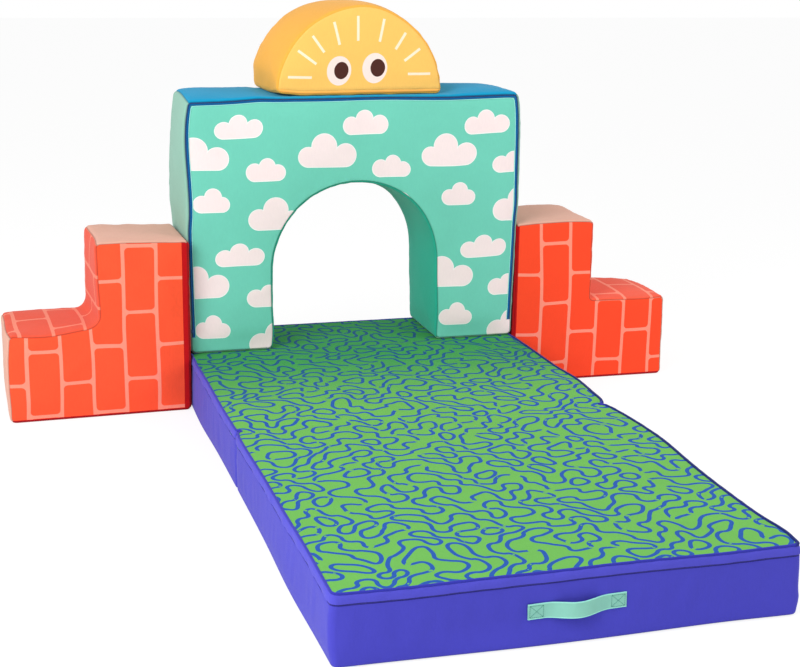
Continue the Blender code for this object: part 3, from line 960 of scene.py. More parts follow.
@dataclass(frozen=True)
class Softness:
    """How a block's cover stands off its plain form."""

    seed: int
    crown: float = 0.0035
    wander: float = 0.0014
    pull: float = 0.0040
    pucker: float = 0.00028
    bow: float = 0.0
    spill: tuple[float, float] = (0.0, 0.0)
    pushes: tuple[Push, ...] = ()
    rests: tuple[Rest, ...] = ()
    ease_reach: float = 0.055

    def freedom(self, places: np.ndarray) -> np.ndarray:
        """From 0 where the cover rests against something to 1 where it is free."""
        free = np.ones(len(places))
        for rest in self.rests:
            free = np.minimum(free, ease(rest.distance(places), REST_GAP, self.ease_reach))
        return free

    def shift(self, places: np.ndarray, corners: np.ndarray, middle: np.ndarray) -> np.ndarray:
        """How far the cover has moved as a whole at each place.

        Args:
            places: Points in the part's frame, one per row.
            corners: The block's sharp corners, one per row.
            middle: The block's middle.

        Returns:
            One vector per place: a slow wander, edges that bow out, and a pull inwards near the
            corners.
        """
        free = self.freedom(places)[:, None]
        waves = [ripples(places, WANDER_LENGTH, self.seed * 10 + axis) for axis in range(3)]
        moved = self.wander * np.stack(waves, axis=1) * free
        if self.bow:
            half = (corners.max(axis=0) - corners.min(axis=0)) / 2
            share = np.clip((places - middle) / half, -1.0, 1.0)
            rising = (1 - share[:, 2] ** 4) * (0.5 + 0.5 * share[:, 2])
            moved[:, 0] += self.bow * share[:, 0] ** 3 * rising
            moved[:, 2] += 0.4 * self.bow * share[:, 2] ** 3 * (1 - share[:, 0] ** 2) * free[:, 0]
        if any(self.spill):
            share = np.clip((places[:, 0] - middle[0]) / np.ptp(corners[:, 0]) * 2, -1.0, 1.0) ** 3
            moved[:, 0] += np.where(share < 0, self.spill[0], self.spill[1]) * share * free[:, 0]
        for push in self.pushes:
            moved += push.moved(places) * (free if push.held else 1.0)
        for corner in corners:
            near = np.exp(-((np.linalg.norm(places - corner, axis=1) / CORNER_REACH) ** 2))
            inward = np.sign(middle - corner) / math.sqrt(3)
            moved += self.pull * near[:, None] * inward * free
        return moved


@dataclass(frozen=True)
class Panel:
    """One cut piece of a cover, which stands for the CAD node of the same name."""

    node: str
    finish: Finish
    slot: str
    crown: float = 1.0


@dataclass
class Surface:
    """A block's whole surface, with what its panels need to know about each point."""

    mesh: bmesh.types.BMesh
    flat: np.ndarray
    along: np.ndarray
    width: np.ndarray
    inset: np.ndarray
    placed: np.ndarray = field(default_factory=lambda: np.zeros((0, 3)))
    seam: np.ndarray = field(default_factory=lambda: np.zeros(0))


def settle(
    piece: bpy.types.Object, body: str, nodes: Iterable[str] = ()
) -> bpy.types.Object:
    """Puts a finished piece on its body and reports it.

    Args:
        piece: The piece, in place.
        body: The body that it rides on.
        nodes: The CAD nodes that it stands for.

    Returns:
        The piece.
    """
    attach(piece, body)
    if nodes:
        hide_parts(*nodes)
    LOG.info("%s on %s, %d faces", piece.name, body, len(piece.data.polygons))
    return piece


def add_object(name: str, data: bpy.types.ID) -> bpy.types.Object:
    """A new object in the scene."""
    made = bpy.data.objects.new(name, data)
    bpy.context.scene.collection.objects.link(made)
    return made


def finished(name: str, mesh: bmesh.types.BMesh) -> bpy.types.Mesh:
    """The mesh of a bmesh, which is freed."""
    made = bpy.data.meshes.new(name)
    mesh.to_mesh(made)
    mesh.free()
    return made


def slice_at(mesh: bmesh.types.BMesh, axis: int, at: float) -> None:
    """Cuts every face along a plane across an axis."""
    normal = Vector([float(axis == i) for i in range(3)])
    region = [*mesh.verts, *mesh.edges, *mesh.faces]
    bmesh.ops.bisect_plane(mesh, geom=region, dist=MERGE, plane_co=normal * at, plane_no=normal)


def thicken(mesh: bmesh.types.BMesh) -> None:
    """Makes a closed shell of cloth, with its lining moved by each point's inward direction."""
    inward = mesh.verts.layers.float_vector["inward"]
    region = [*mesh.verts, *mesh.edges, *mesh.faces]
    made = bmesh.ops.extrude_face_region(mesh, geom=region, use_keep_orig=True)
    for part in made["geom"]:
        if isinstance(part, bmesh.types.BMVert):
            part.co += part[inward] * CLOTH
    bmesh.ops.recalc_face_normals(mesh, faces=mesh.faces)


def stretched(size: Sequence[float], area: float) -> None:
    """Works out a cut panel's area, capped at its width times its length, and discards it.

    Args:
        size: The flat cut's width and length.
        area: The flat cut's area, which is capped at its width times its length.
    """
    width, length = size
    round(min(area, width * length), 5)


def add_piece(
    name: str, mesh: bpy.types.Mesh | bmesh.types.BMesh, finish: Finish, smooth: float | None = 40.0
) -> bpy.types.Object:
    """A new object of one finish.

    Args:
        name: The piece's name.
        mesh: Its mesh, or a bmesh, which is freed.
        finish: Its finish.
        smooth: The angle in degrees past which an edge stays sharp, or None for flat faces.

    Returns:
        The object, in the scene.
    """
    if isinstance(mesh, bmesh.types.BMesh):
        mesh = finished(name, mesh)
    mesh.name = name
    mesh.materials.clear()
    mesh.materials.append(material_of(finish))
    if smooth is not None:
        mesh.shade_smooth()
        mesh.set_sharp_from_angle(angle=math.radians(smooth))
    return add_object(name, mesh)


@dataclass
class Block:
    """A foam block: an outline swept through a depth, its edges rounded, in a cover of panels."""

    name: str
    outline: Outline
    depth: float
    place: Matrix
    softness: Softness
    front: Panel | None
    back: Panel
    bands: dict[tuple[int, int], Panel]
    middle: float = 0.0
    spacing: float = 0.010
    rings: tuple[float, ...] = (0.0006, 0.0016, 0.0026, 0.0032, 0.0038, 0.0052, 0.0070, 0.0090, 0.0108)
    extra_cuts: tuple[tuple[str, float], ...] = ()
    core_fill: float = 0.9
    crease: float = 0.0

    def profile(self, inset: float, radius: float) -> float:
        """How high the rounding stands at this inset, from where it starts."""
        return radius if inset >= radius else math.sqrt(radius**2 - (radius - inset) ** 2)

    def form(self, shrink: float, spacing: float) -> Surface:
        """The block's surface before it is softened.

        Args:
            shrink: How far it is moved inwards.
            spacing: The size of its cells.

        Returns:
            The surface, in the block's own frame.
        """
        outline = Outline(self.outline.bends, shrink)
        radius = EDGE - shrink
        low, high = self.middle - self.depth / 2 + EDGE, self.middle + self.depth / 2 - EDGE
        insets = [0.0, *(inset - shrink for inset in self.rings if inset - shrink > SHORTEST_RING)]
        levels = [(inset, high + self.profile(inset, radius)) for inset in insets]
        levels = [*[(inset, low + high - level) for inset, level in levels[::-1]], *levels]
        mesh = bmesh.new()
        rows = [
            [mesh.verts.new((x, y, level)) for x, y in Outline(outline.bends, shrink + inset).points]
            for inset, level in levels
        ]
        for lower, upper in zip(rows, rows[1:]):
            for i, j in zip(range(len(lower)), [*range(1, len(lower)), 0]):
                mesh.faces.new((lower[i], lower[j], upper[j], upper[i]))
        for row in (rows[0], rows[-1]):
            mesh.faces.new(row)
        bmesh.ops.recalc_face_normals(mesh, faces=mesh.faces)
        self.cut(mesh, outline, spacing)
        return self.measure(mesh, radius, shrink)

    def cut(self, mesh: bmesh.types.BMesh, outline: Outline, spacing: float) -> None:
        """Cuts the surface into cells."""
        depth = (self.middle - self.depth / 2 + EDGE / 2, self.middle + self.depth / 2 - EDGE / 2)
        ends = [*outline.ends, depth]
        cuts = [(axis, at) for axis, (low, high) in zip("xyz", ends) for at in spread(low, high, spacing)]
        for axis, at in (*self.extra_cuts, *cuts):
            slice_at(mesh, "xyz".index(axis), at)

    def measure(self, mesh: bmesh.types.BMesh, radius: float, shrink: float) -> Surface:
        """Finds where each point lies along the outline, across the band and in from the edge."""
        flat = np.array([v.co for v in mesh.verts])
        along, inset = self.outline.locate(flat[:, :2])
        straight = self.depth / 2 - EDGE
        off = flat[:, 2] - self.middle
        past = np.maximum(np.abs(off) - straight, 0.0)
        inner = inset - shrink
        angle = np.arctan2(past, np.maximum(radius - inner, TINY))
        round_off = EDGE * angle + np.maximum(inner - radius, 0.0)
        width = np.sign(off) * (np.minimum(np.abs(off), straight) + np.where(past > TINY, round_off, 0.0))
        return Surface(mesh, flat, along, width, inset)

    @property
    def seam_width(self) -> float:
        """Where the seams of the front and back lie, measured across the band from its middle."""
        return self.depth / 2 - EDGE + EDGE * math.acos(1 - SEAM / EDGE)

    def ring_distance(self, surface: Surface) -> np.ndarray:
        """How far each point is from the seams round the front and the back."""
        return np.abs(np.abs(surface.width) - self.seam_width)

    def seam_distance(self, surface: Surface) -> np.ndarray:
        """How far each point is from the nearest seam."""
        ring = self.ring_distance(surface)
        on_band = np.abs(surface.width) < self.seam_width + TINY
        total = self.outline.lengths[-1]
        seam = ring.copy()
        for first in {first % len(self.outline.bends) for first, _ in self.bands}:
            off = np.abs(surface.along - self.outline.marks[first])
            off = np.minimum(off, total - off)
            seam = np.where(on_band, np.minimum(seam, off), seam)
        return seam

    @property
    def corners(self) -> np.ndarray:
        """The block's sharp corners in the part's frame."""
        tips = []
        for bend in self.outline.bends:
            if bend.sweep < 0 or bend.radius > BIG_RADIUS:
                continue
            middle = bend.start + bend.sweep / 2
            reach = bend.radius / math.cos(bend.sweep / 2)
            for end in (-1, 1):
                tip = (
                    bend.x + reach * math.cos(middle),
                    bend.y + reach * math.sin(middle),
                    self.middle + end * self.depth / 2,
                )
                tips.append(self.place @ Vector(tip))
        return np.array(tips)

    @property
    def centre(self) -> np.ndarray:
        """The block's middle in the part's frame."""
        corners = self.corners
        return (corners.min(axis=0) + corners.max(axis=0)) / 2

    def to_part(self, places: np.ndarray) -> np.ndarray:
        """Places of the block's own frame in the part's."""
        turn = np.array(self.place)
        return places @ turn[:3, :3].T + turn[:3, 3]

    def softened(self, places: np.ndarray) -> np.ndarray:
        """Places of the part's frame, moved as the cover has moved as a whole."""
        return places + self.softness.shift(places, self.corners, self.centre)

    def crown_share(self, surface: Surface) -> np.ndarray:
        """How much of the softness's crown each point has."""
        share = np.ones(len(surface.flat))
        for (first, last), panel in self.bands.items():
            share[self.in_band(surface.along, surface.width, first, last)] = panel.crown
        if self.front:
            share[surface.width > self.seam_width] = self.front.crown
        share[surface.width < -self.seam_width] = self.back.crown
        return share

    def in_band(self, along: np.ndarray, width: np.ndarray, first: int, last: int) -> np.ndarray:
        """Which places lie in the band from the middle of one bend to the middle of another."""
        start, run = self.stretch(first, last)
        off = (along - start) % self.outline.lengths[-1]
        return (np.abs(width) <= self.seam_width) & (off <= run)

    def stretch(self, first: int, last: int) -> tuple[float, float]:
        """Where a band starts along the outline, and how long it is."""
        count, total = len(self.outline.bends), float(self.outline.lengths[-1])
        marks = self.outline.marks
        start = marks[first % count]
        run = (marks[last % count] - start) % total
        return start, run or total

    def relief(self, surface: Surface) -> np.ndarray:
        """How far each point stands out of, or in from, the plain cover: seams, folds, grooves."""
        groove = -GROOVE_DEPTH * np.exp(-((surface.seam / GROOVE_WIDTH) ** 2))
        grip = np.exp(-surface.seam / GATHER_REACH) * (1 - np.exp(-surface.seam / GATHER_START))
        gathers = ripples(surface.placed, GATHER_LENGTH, self.softness.seed + 7, 12)
        lifted = ease(surface.placed[:, 2], 0.012, 0.05)
        folded = np.zeros(len(groove))
        if self.crease:
            off = (surface.flat[:, 1] - self.crease) / CREASE_WIDTH
            folded = -CREASE_DEPTH * np.exp(-(off**2))
            folded[surface.width < self.seam_width] *= 0.3
        return groove + folded + self.softness.pucker * 2 * grip * gathers * lifted

    def soften(self, surface: Surface) -> None:
        """Crowns the surface, pulls its corners in and puts it in place."""
        mesh = surface.mesh
        surface.placed = self.to_part(surface.flat)
        surface.seam = self.seam_distance(surface)
        mesh.normal_update()
        turn = np.array(self.place)[:3, :3]
        normals = np.array([v.normal for v in mesh.verts]) @ turn.T
        free = self.softness.freedom(surface.placed)
        swell = 1 - np.exp(-surface.seam / SWELL_REACH)
        rise = self.softness.crown * self.crown_share(surface) * swell * free
        rise += self.relief(surface)
        placed = self.softened(surface.placed) + normals * rise[:, None]
        placed[:, 2] = np.maximum(placed[:, 2], LOWEST)
        surface.placed = placed
        inward = mesh.verts.layers.float_vector.new("inward")
        for vert, place in zip(mesh.verts, placed):
            vert.co = place
        mesh.normal_update()
        for vert in mesh.verts:
            vert[inward] = -vert.normal

    def panel_faces(self, surface: Surface) -> dict[Panel, list[int]]:
        """The numbers of each panel's faces."""
        mesh = surface.mesh
        middles = np.array([np.mean([surface.flat[v.index] for v in f.verts], axis=0) for f in mesh.faces])
        widths = np.array([np.mean([surface.width[v.index] for v in f.verts]) for f in mesh.faces])
        along, _ = self.outline.locate(middles[:, :2])
        found: dict[Panel, list[int]] = {}
        if self.front:
            found[self.front] = np.flatnonzero(widths > self.seam_width).tolist()
        found[self.back] = np.flatnonzero(widths < -self.seam_width).tolist()
        for (first, last), panel in self.bands.items():
            found[panel] = np.flatnonzero(self.in_band(along, widths, first, last)).tolist()
        for panel, take in self.inserts(middles, widths).items():
            taken = set(np.flatnonzero(take).tolist())
            found = {other: [i for i in faces if i not in taken] for other, faces in found.items()}
            found[panel] = sorted(taken | set(found.get(panel, [])))
        return found

    def inserts(self, middles: np.ndarray, widths: np.ndarray) -> dict[Panel, np.ndarray]:
        """Panels that a kind of block has inside its bands, with the places that they take."""
        return {}

    def span(self, panel: Panel) -> tuple[int, int]:
        """The bends between which a band's panel lies."""
        return next(span for span, other in self.bands.items() if other is panel)

    def cut_map(self, panel: Panel) -> Callable[[Surface, int], tuple[float, float]]:
        """Gives the flat coordinates of a panel's points, in metres."""
        if panel in (self.front, self.back):
            side = 1 if panel is self.front else -1
            return lambda surface, i: (side * surface.flat[i, 0], surface.flat[i, 1])
        start, run = self.stretch(*self.span(panel))
        total = float(self.outline.lengths[-1])
        slack = (total - run) / 2

        def band(surface: Surface, i: int) -> tuple[float, float]:
            """Along the band from its start, and across it."""
            off = (surface.along[i] - start + slack) % total - slack
            return off, surface.width[i]

        return band

    def shell(self, surface: Surface, panel: Panel, numbers: list[int]) -> bpy.types.Object:
        """One panel as a closed shell of cloth, with its flat cut as its UV map.

        Args:
            surface: The softened surface.
            panel: The panel.
            numbers: Its faces.

        Returns:
            The piece.
        """
        keep = set(numbers)
        mesh = surface.mesh.copy()
        uv = mesh.loops.layers.uv.new("cloth")
        near = mesh.verts.layers.float.new("seam")
        for vert in mesh.verts:
            vert[near] = surface.seam[vert.index]
        place = self.cut_map(panel)
        drop = []
        area = 0.0
        for face in mesh.faces:
            if face.index not in keep:
                drop.append(face)
                continue
            for loop in face.loops:
                loop[uv].uv = place(surface, loop.vert.index)
        bmesh.ops.delete(mesh, geom=drop, context="FACES")
        flat = np.array([loop[uv].uv for face in mesh.faces for loop in face.loops])
        for face in mesh.faces:
            spots = [loop[uv].uv for loop in face.loops]
            area += abs(sum(a.cross(b) for a, b in zip(spots, spots[1:] + spots[:1]))) / 2
        thicken(mesh)
        piece = add_piece(panel.node, mesh, panel.finish, 50.0)
        size = np.ptp(flat, axis=0).tolist()
        if min(size) > NARROWEST_SHEET:
            stretched(size, area)
        return piece

    def core(self) -> bpy.types.Object:
        """The crowned foam core that the cover is stretched over."""
        surface = self.form(CORE_INSET, self.spacing * CORE_COARSER)
        self.soften(surface)
        piece = add_piece(f"{self.name}_core", surface.mesh, FOAM, 70.0)
        return settle(piece, self.name, [f"{self.name}_foam"])

    def build(self) -> None:
        """Makes the core and the cover."""
        core = self.core()
        surface = self.form(0.0, self.spacing)
        self.soften(surface)
        surface.mesh.faces.ensure_lookup_table()
        for panel, numbers in self.panel_faces(surface).items():
            piece = self.shell(surface, panel, numbers)
            piece.name = f"{panel.node}_cloth"
            settle(piece, self.name, [panel.node])
        self.trim(Skin(self, surface))
        surface.mesh.free()
        LOG.info("%s core holds %d points", core.name, len(core.data.vertices))

    def trim(self, skin: "Skin") -> None:
        """Adds what is sewn on a kind of block."""


def lathe(radius: float, sides: int) -> np.ndarray:
    """The round section of a cord, as (side, up) rows."""
    turns = np.arange(sides) * math.tau / sides
    return radius * np.stack([np.cos(turns), np.sin(turns)], axis=1)


def sweep(centres: np.ndarray, ups: np.ndarray, section: np.ndarray) -> bmesh.types.BMesh:
    """A closed solid with one section along a line.

    Args:
        centres: The line's points, one per row.
        ups: The upward direction at each point.
        section: The section's points as (side, up) rows, anticlockwise, or one such set per point.

    Returns:
        The mesh, with metres along and round it as its UV map.
    """
    count, sides = len(centres), section.shape[-2]
    runs, ups = squared(centres, ups)
    across = np.cross(runs, ups)
    sections = np.broadcast_to(section, (count, sides, 2))
    rings = centres[:, None] + sections[..., :1] * across[:, None] + sections[..., 1:] * ups[:, None]
    along = distances(centres)
    mesh = bmesh.new()
    uv = mesh.loops.layers.uv.new("cloth")
    rows = [[mesh.verts.new(place) for place in ring] for ring in rings]
    for i in range(count - 1):
        for j in range(sides):
            k = (j + 1) % sides
            face = mesh.faces.new((rows[i][j], rows[i][k], rows[i + 1][k], rows[i + 1][j]))
            for loop, run, at in zip(face.loops, (i, i, i + 1, i + 1), (j, k, k, j)):
                loop[uv].uv = (along[run], sections[i, at, 0])
    for row in (rows[0], rows[-1]):
        mesh.faces.new(row)
    bmesh.ops.recalc_face_normals(mesh, faces=mesh.faces)
    return mesh


def repeated(pattern: bmesh.types.BMesh, places: np.ndarray, frames: np.ndarray) -> bpy.types.Mesh:
    """Many copies of one small shape in a single mesh.

    Args:
        pattern: The shape, which is freed.
        places: Where its origin goes, one row per copy.
        frames: The directions of its x, y and z axes, three rows per copy.

    Returns:
        The mesh.
    """
    pattern.verts.index_update()
    points = np.array([v.co for v in pattern.verts])
    faces = [[v.index for v in f.verts] for f in pattern.faces]
    pattern.free()
    spots = places[:, None] + np.einsum("vi,nij->nvj", points, frames)
    count = len(points)
    all_faces = [[i * count + v for v in face] for i in range(len(places)) for face in faces]
    mesh = bpy.data.meshes.new("repeated")
    mesh.from_pydata(spots.reshape(-1, 3).tolist(), [], all_faces)
    return mesh


def bead(size: Point, rounding: float, segments: int = 1) -> bmesh.types.BMesh:
    """A small rounded box."""
    mesh = bmesh.new()
    bmesh.ops.create_cube(mesh, size=1)
    bmesh.ops.scale(mesh, verts=mesh.verts, vec=size)
    bmesh.ops.bevel(
        mesh,
        geom=mesh.edges,
        offset=rounding,
        segments=segments,
        profile=0.5,
        affect="EDGES",
        material=-1,
    )
    return mesh


def resampled(points: np.ndarray, spacing: float) -> np.ndarray:
    """Points at even spacing along a line."""
    along = distances(points)
    marks = np.linspace(0, along[-1], max(2, round(along[-1] / spacing) + 1))
    return np.stack([np.interp(marks, along, points[:, i]) for i in range(points.shape[1])], axis=1)


class Skin:
    """A block's softened surface, on which its trim lies."""

    # A slider's two plates, its post and its bridge: size, rounding, its steps, and the middle's place
    SLIDER = (
        ((0.0088, 0.0062, 0.0010), 0.00045, 2, (0.0, 0.0, 0.0016)),
        ((0.0088, 0.0062, 0.0010), 0.00045, 2, (0.0, 0.0, -0.0013)),
        ((0.0022, 0.0024, 0.0028), 0.0004, 1, (0.0026, 0.0, 0.0002)),
        ((0.0060, 0.0016, 0.0014), 0.0006, 2, (0.0, 0.0, 0.0026)),
    )

    def __init__(self, block: Block, surface: Surface) -> None:
        """Keeps the surface ready for finding its nearest points."""
        self.block = block
        self.tree = BVHTree.FromBMesh(surface.mesh)

    def land(self, local: np.ndarray) -> tuple[np.ndarray, np.ndarray]:
        """Points and outward directions on the cover.

        Args:
            local: Places of the plain form in the block's own frame.

        Returns:
            The places on the softened cover, and the directions away from it.
        """
        places = self.block.softened(self.block.to_part(local))
        found = [self.tree.find_nearest(place) for place in places]
        normals = np.array([hit[1] for hit in found])
        for _ in range(3):
            normals[1:-1] = (normals[:-2] + normals[1:-1] * 2 + normals[2:]) / 4
        normals /= np.linalg.norm(normals, axis=1, keepdims=True)
        return np.array([hit[0] for hit in found]), normals

    def cord(self, name: str, local: np.ndarray, radius: float, finish: Finish) -> bpy.types.Object:
        """A cord that is sewn on along a line."""
        places, ups = self.land(resampled(local, TRIM_SPACING))
        wide = radius * (1 + 0.5 * ease(places[:, 0], *Piping.THICK_FROM))
        mesh = sweep(places + ups * WELT_RISE, ups, lathe(1.0, 10) * wide[:, None, None])
        return add_piece(name, mesh, finish, 70.0)

    def teeth(self, name: str, local: np.ndarray, finish: Finish) -> bpy.types.Object:
        """A zip's two rows of teeth, meshed, along a line."""
        places, ups = self.land(resampled(local, TOOTH_PITCH))
        runs, ups = squared(places, ups)
        sides = np.cross(ups, runs)
        sway = np.where(np.arange(len(places)) % 2, TOOTH_SWAY, -TOOTH_SWAY)[:, None]
        frames = np.stack([runs, sides, ups], axis=1)
        tooth = bead((TOOTH_PITCH * 0.78, 0.0030, 0.0014), 0.0004)
        row = repeated(tooth, places + sides * sway + ups * TOOTH_RISE, frames)
        return add_piece(name, row, finish, 60.0)

    def slider(self, name: str, local: np.ndarray, finish: Finish) -> bpy.types.Object:
        """A zip slider: two plates on a post, with a bridge for a pull."""
        places, ups = self.land(local)
        run = places[1] - places[0]
        run /= np.linalg.norm(run)
        up = ups[0] - run * (ups[0] @ run)
        up /= np.linalg.norm(up)
        frame = np.stack([run, np.cross(up, run), up])[None]
        mesh = bmesh.new()
        for size, rounding, segments, offset in self.SLIDER:
            middle = (places[0] + places[1]) / 2 + np.array(offset) @ frame[0]
            made = repeated(bead(size, rounding, segments), middle[None], frame)
            mesh.from_mesh(made)
            bpy.data.meshes.remove(made)
        return add_piece(name, mesh, finish, 40.0)


@dataclass
class MatPanel(Block):
    """One half of the mat: a flap all round under the piped seam, with a zip below it."""

    side: int = 1

    FLAP_RISE = 0.0013
    SLOT_DEPTH = 0.0014
    FOLD_RISE = 0.00045
    FOLD_LENGTH = 0.030
    LIP_LENGTH = 0.05
    TUCK = 0.0045
    WELT_INSET = 0.0026
    WELT_LEVEL = -0.0016
    WELT_RADIUS = 0.0024
    SLIDER_AT = 0.044

    def inserts(self, middles: np.ndarray, widths: np.ndarray) -> dict[Panel, np.ndarray]:
        """The flap above the zip's slot, and the zip."""
        along, _ = self.outline.locate(middles[:, :2])
        free = self.in_band(along, widths, *FREE_SPAN[self.side])
        height = middles[:, 2]
        return {
            self.flap: free & (height > FLAP_FOOT),
            self.zip: free & (height < FLAP_FOOT) & (height > SLOT_FOOT),
        }

    @functools.cached_property
    def flap(self) -> Panel:
        """The flap's panel."""
        return Panel(f"{self.name}_zip_flap", FLAP_PAINTED_LIGHT, "mat_side_cloth")

    @functools.cached_property
    def zip(self) -> Panel:
        """The zip's tape."""
        return Panel(f"{self.name}_zip", MAT_TAPE, "mat_zip_tape")

    def span(self, panel: Panel) -> tuple[int, int]:
        """The bends between which a band's panel lies."""
        return FREE_SPAN[self.side] if panel in (self.flap, self.zip) else super().span(panel)

    def relief(self, surface: Surface) -> np.ndarray:
        """The flap stands out over the slot, and the sides fall in faint upright folds."""
        height = surface.flat[:, 2]
        free = self.in_band(surface.along, surface.width, *FREE_SPAN[self.side])
        flap = ease(height, FLAP_FOOT - 0.0004, FLAP_FOOT) * ease(-height, 0.001, 0.012)
        slot = ease(height, SLOT_FOOT - 0.0001, SLOT_FOOT + 0.0004) * ease(-height, -FLAP_FOOT, 0.0169)
        seed = self.softness.seed
        folds = ripples(np.stack([surface.along, height * 0.16], axis=1), self.FOLD_LENGTH, seed, 10)
        drop = ease(-height, 0.02, 0.05) * ease(height, -0.108, -0.07)
        lip = ripples(np.stack([surface.along, height * 0.1], axis=1), self.LIP_LENGTH, seed + 2, 8)
        shift = self.FLAP_RISE * flap * (1 + 0.35 * lip) - self.SLOT_DEPTH * slot
        shift = shift + self.FOLD_RISE * folds * drop
        fold = self.in_band(surface.along, surface.width, *FOLD_SPAN[self.side])
        beside = np.abs(surface.flat[:, 0]) < TONGUE + 0.004
        near = -self.TUCK * ease(height, -0.03, -0.004) * beside
        return super().relief(surface) + np.where(free, shift, 0.0) + np.where(fold, near, 0.0)

    def trim(self, skin: Skin) -> None:
        """The piping on the seam, the zip's teeth and its slider."""
        welt = open_run(self.outline, self.WELT_INSET, *FREE_SPAN[self.side], TONGUE)
        local = np.column_stack([welt, np.full(len(welt), self.WELT_LEVEL)])
        piping = skin.cord(f"{self.name}_piping_welt", local, self.WELT_RADIUS, WELT)
        settle(piping, self.name, [f"{self.name}_piping"])
        run = open_run(self.outline, 0.0, *FREE_SPAN[self.side], TONGUE)
        level = (FLAP_FOOT + SLOT_FOOT) / 2
        local = np.column_stack([run, np.full(len(run), level)])
        teeth = skin.teeth(f"{self.name}_zip_teeth", local, MAT_TEETH)
        settle(teeth, self.name)
        at = self.side * self.SLIDER_AT
        ends = [(-PANEL / 2, at + off * self.side, level) for off in (-SLIDER_HALF, SLIDER_HALF)]
        slider = skin.slider(f"{self.name}_zip_slider_cast", np.array(ends), BLUE_METAL)
        settle(slider, f"{self.name}_slider", [f"{self.name}_zip_slider"])


def open_run(outline: Outline, inset: float, first: int, last: int, reach: float) -> np.ndarray:
    """Points along an outline's free sides, from one end of the fold to the other.

    Args:
        outline: The outline.
        inset: How far in from it the points lie.
        first: The bend that the free sides start at.
        last: The bend that they end at.
        reach: How far from the middle the fold's ends are.

    Returns:
        The points, one per row, with up to past more on the fold at each end.
    """
    past = 4
    points, marks = Outline(outline.bends, inset).drawn
    start, stop = marks[first % len(marks)], marks[last % len(marks)]
    steps = range(-past, (stop - start) % len(points) + past + 1)
    run = points[[(start + step) % len(points) for step in steps]]
    return run[np.abs(run[:, 0]) > reach - 0.0005]


def mat_panel(side: int) -> MatPanel:
    """The rear panel of the mat, or the front one."""
    name = "mat_rear" if side > 0 else "mat_front"
    half, near, far = PANEL / 2, side * CLEARANCE / 2, side * PANEL
    corners = [(x, y, MAT_CORNER) for x, y in ((-half, near), (half, near), (half, far), (-half, far))]
    if side < 0:
        corners.reverse()
    other = (FOLD_Y - PANEL, FOLD_Y) if side > 0 else (FOLD_Y, FOLD_Y + PANEL)
    rests = (
        Rest((-1.0, -2.0, -0.05), (1.0, 1.0, 0.001)),
        Rest((-half, other[0], 0.0), (half, other[1], 0.2)),
        Rest((-half - 0.4, ARCH_FRONT - 0.05, 0.0), (-half, PANEL / 2 - 0.045, WALL_HEIGHT)),
        Rest((half, ARCH_FRONT, 0.0), (half + 0.4, PANEL / 2, WALL_HEIGHT)),
        Rest((-half, ARCH_FRONT, MAT_TOP), (half, PANEL / 2, 0.3)),
    )
    return MatPanel(
        name=name,
        side=side,
        outline=Outline(tuple(square_bends(corners))),
        depth=MAT_TOP,
        middle=-MAT_TOP / 2,
        place=Matrix.Translation((0, FOLD_Y, MAT_TOP)),
        softness=Softness(
            seed=21 + side,
            rests=rests,
            crown=0.0022,
            wander=0.0008,
            pull=0.0015,
            spill=(0.0015, 0.0045),
            pushes=(
                Push((half, FOLD_Y + 0.17, MAT_TOP), (0.010, 0.0, 0.0), 0.09),
                Push((half, FOLD_Y - 0.11, MAT_TOP), (0.005, 0.0, 0.0), 0.11),
                Push((half, FOLD_Y - 0.25, MAT_TOP), (0.011, 0.0, 0.0), 0.13),
                Push((half, FOLD_Y - 0.55, MAT_TOP), (-0.003, 0.0, 0.0), 0.11),
                Push((half, FOLD_Y - 0.70, MAT_TOP), (0.004, 0.0, 0.0), 0.04),
                Push((half, FOLD_Y - 0.74, MAT_TOP / 2), (0.005, 0.0, 0.0), 0.07),
                Push((half, FOLD_Y - PANEL, 0.0), (0.006, -0.005, 0.0), (0.09, 0.09, 0.035), False),
                Push((-0.02, FOLD_Y - PANEL, 0.0), (0.0, -0.009, 0.0), (0.26, 0.10, 0.028), False),
                Push((-half, 0.02, 0.0), (-0.004, 0.0, 0.0), (0.10, 0.14, 0.06), False),
                Push((-half, -0.87, 0.0), (-0.004, 0.0, 0.0), (0.10, 0.16, 0.06), False),
            ),
            ease_reach=0.03,
        ),
        front=None,
        back=Panel(f"{name}_base", BASE, "mat_base_cloth", 0.0),
        bands={
            FOLD_SPAN[side]: Panel(f"{name}_fold_side", SIDES, "mat_side_cloth", 0.0),
            FREE_SPAN[side]: Panel(f"{name}_sides", SIDES, "mat_side_cloth"),
        },
        spacing=0.009,
        extra_cuts=tuple(("z", at) for at in (-0.0135, -0.0157, -0.0165, -0.0169, -0.0196, -0.0200)),
    )


def sheet_relief(flat: np.ndarray, inset: np.ndarray, free: np.ndarray) -> np.ndarray:
    """How high the printed sheet stands: its rim, crown and waves, the dip at the fold and gathers.

    Args:
        flat: The sheet's points, with the fold at y = 0.
        inset: How far in from the seam each point is.
        free: From 0 where something stands on the sheet to 1 where it is free.

    Returns:
        The height of each point.
    """
    crown, wave, crease, dip, gather, crinkle = 0.0016, 0.0010, 0.0007, 0.0010, 0.00035, 0.0002
    edge = np.maximum(EDGE - SEAM - inset, 0.0)
    height = -(EDGE - np.sqrt(EDGE**2 - edge**2))
    height += crown * (1 - np.exp(-inset / 0.05)) * free
    height += wave * ripples(flat, 0.22, 31) * (1 - np.exp(-inset / 0.03)) * free
    fold = np.abs(flat[:, 1])
    height -= crease * np.exp(-((fold / 0.0030) ** 2)) + dip * np.exp(-((fold / 0.022) ** 2))
    gathers = ripples(flat, 0.018, 32, 12) * np.exp(-inset / 0.012) * (1 - np.exp(-inset / 0.003))
    height += gather * gathers + crinkle * ripples(flat, 0.03, 33, 12) * np.exp(-fold / 0.02)
    return height


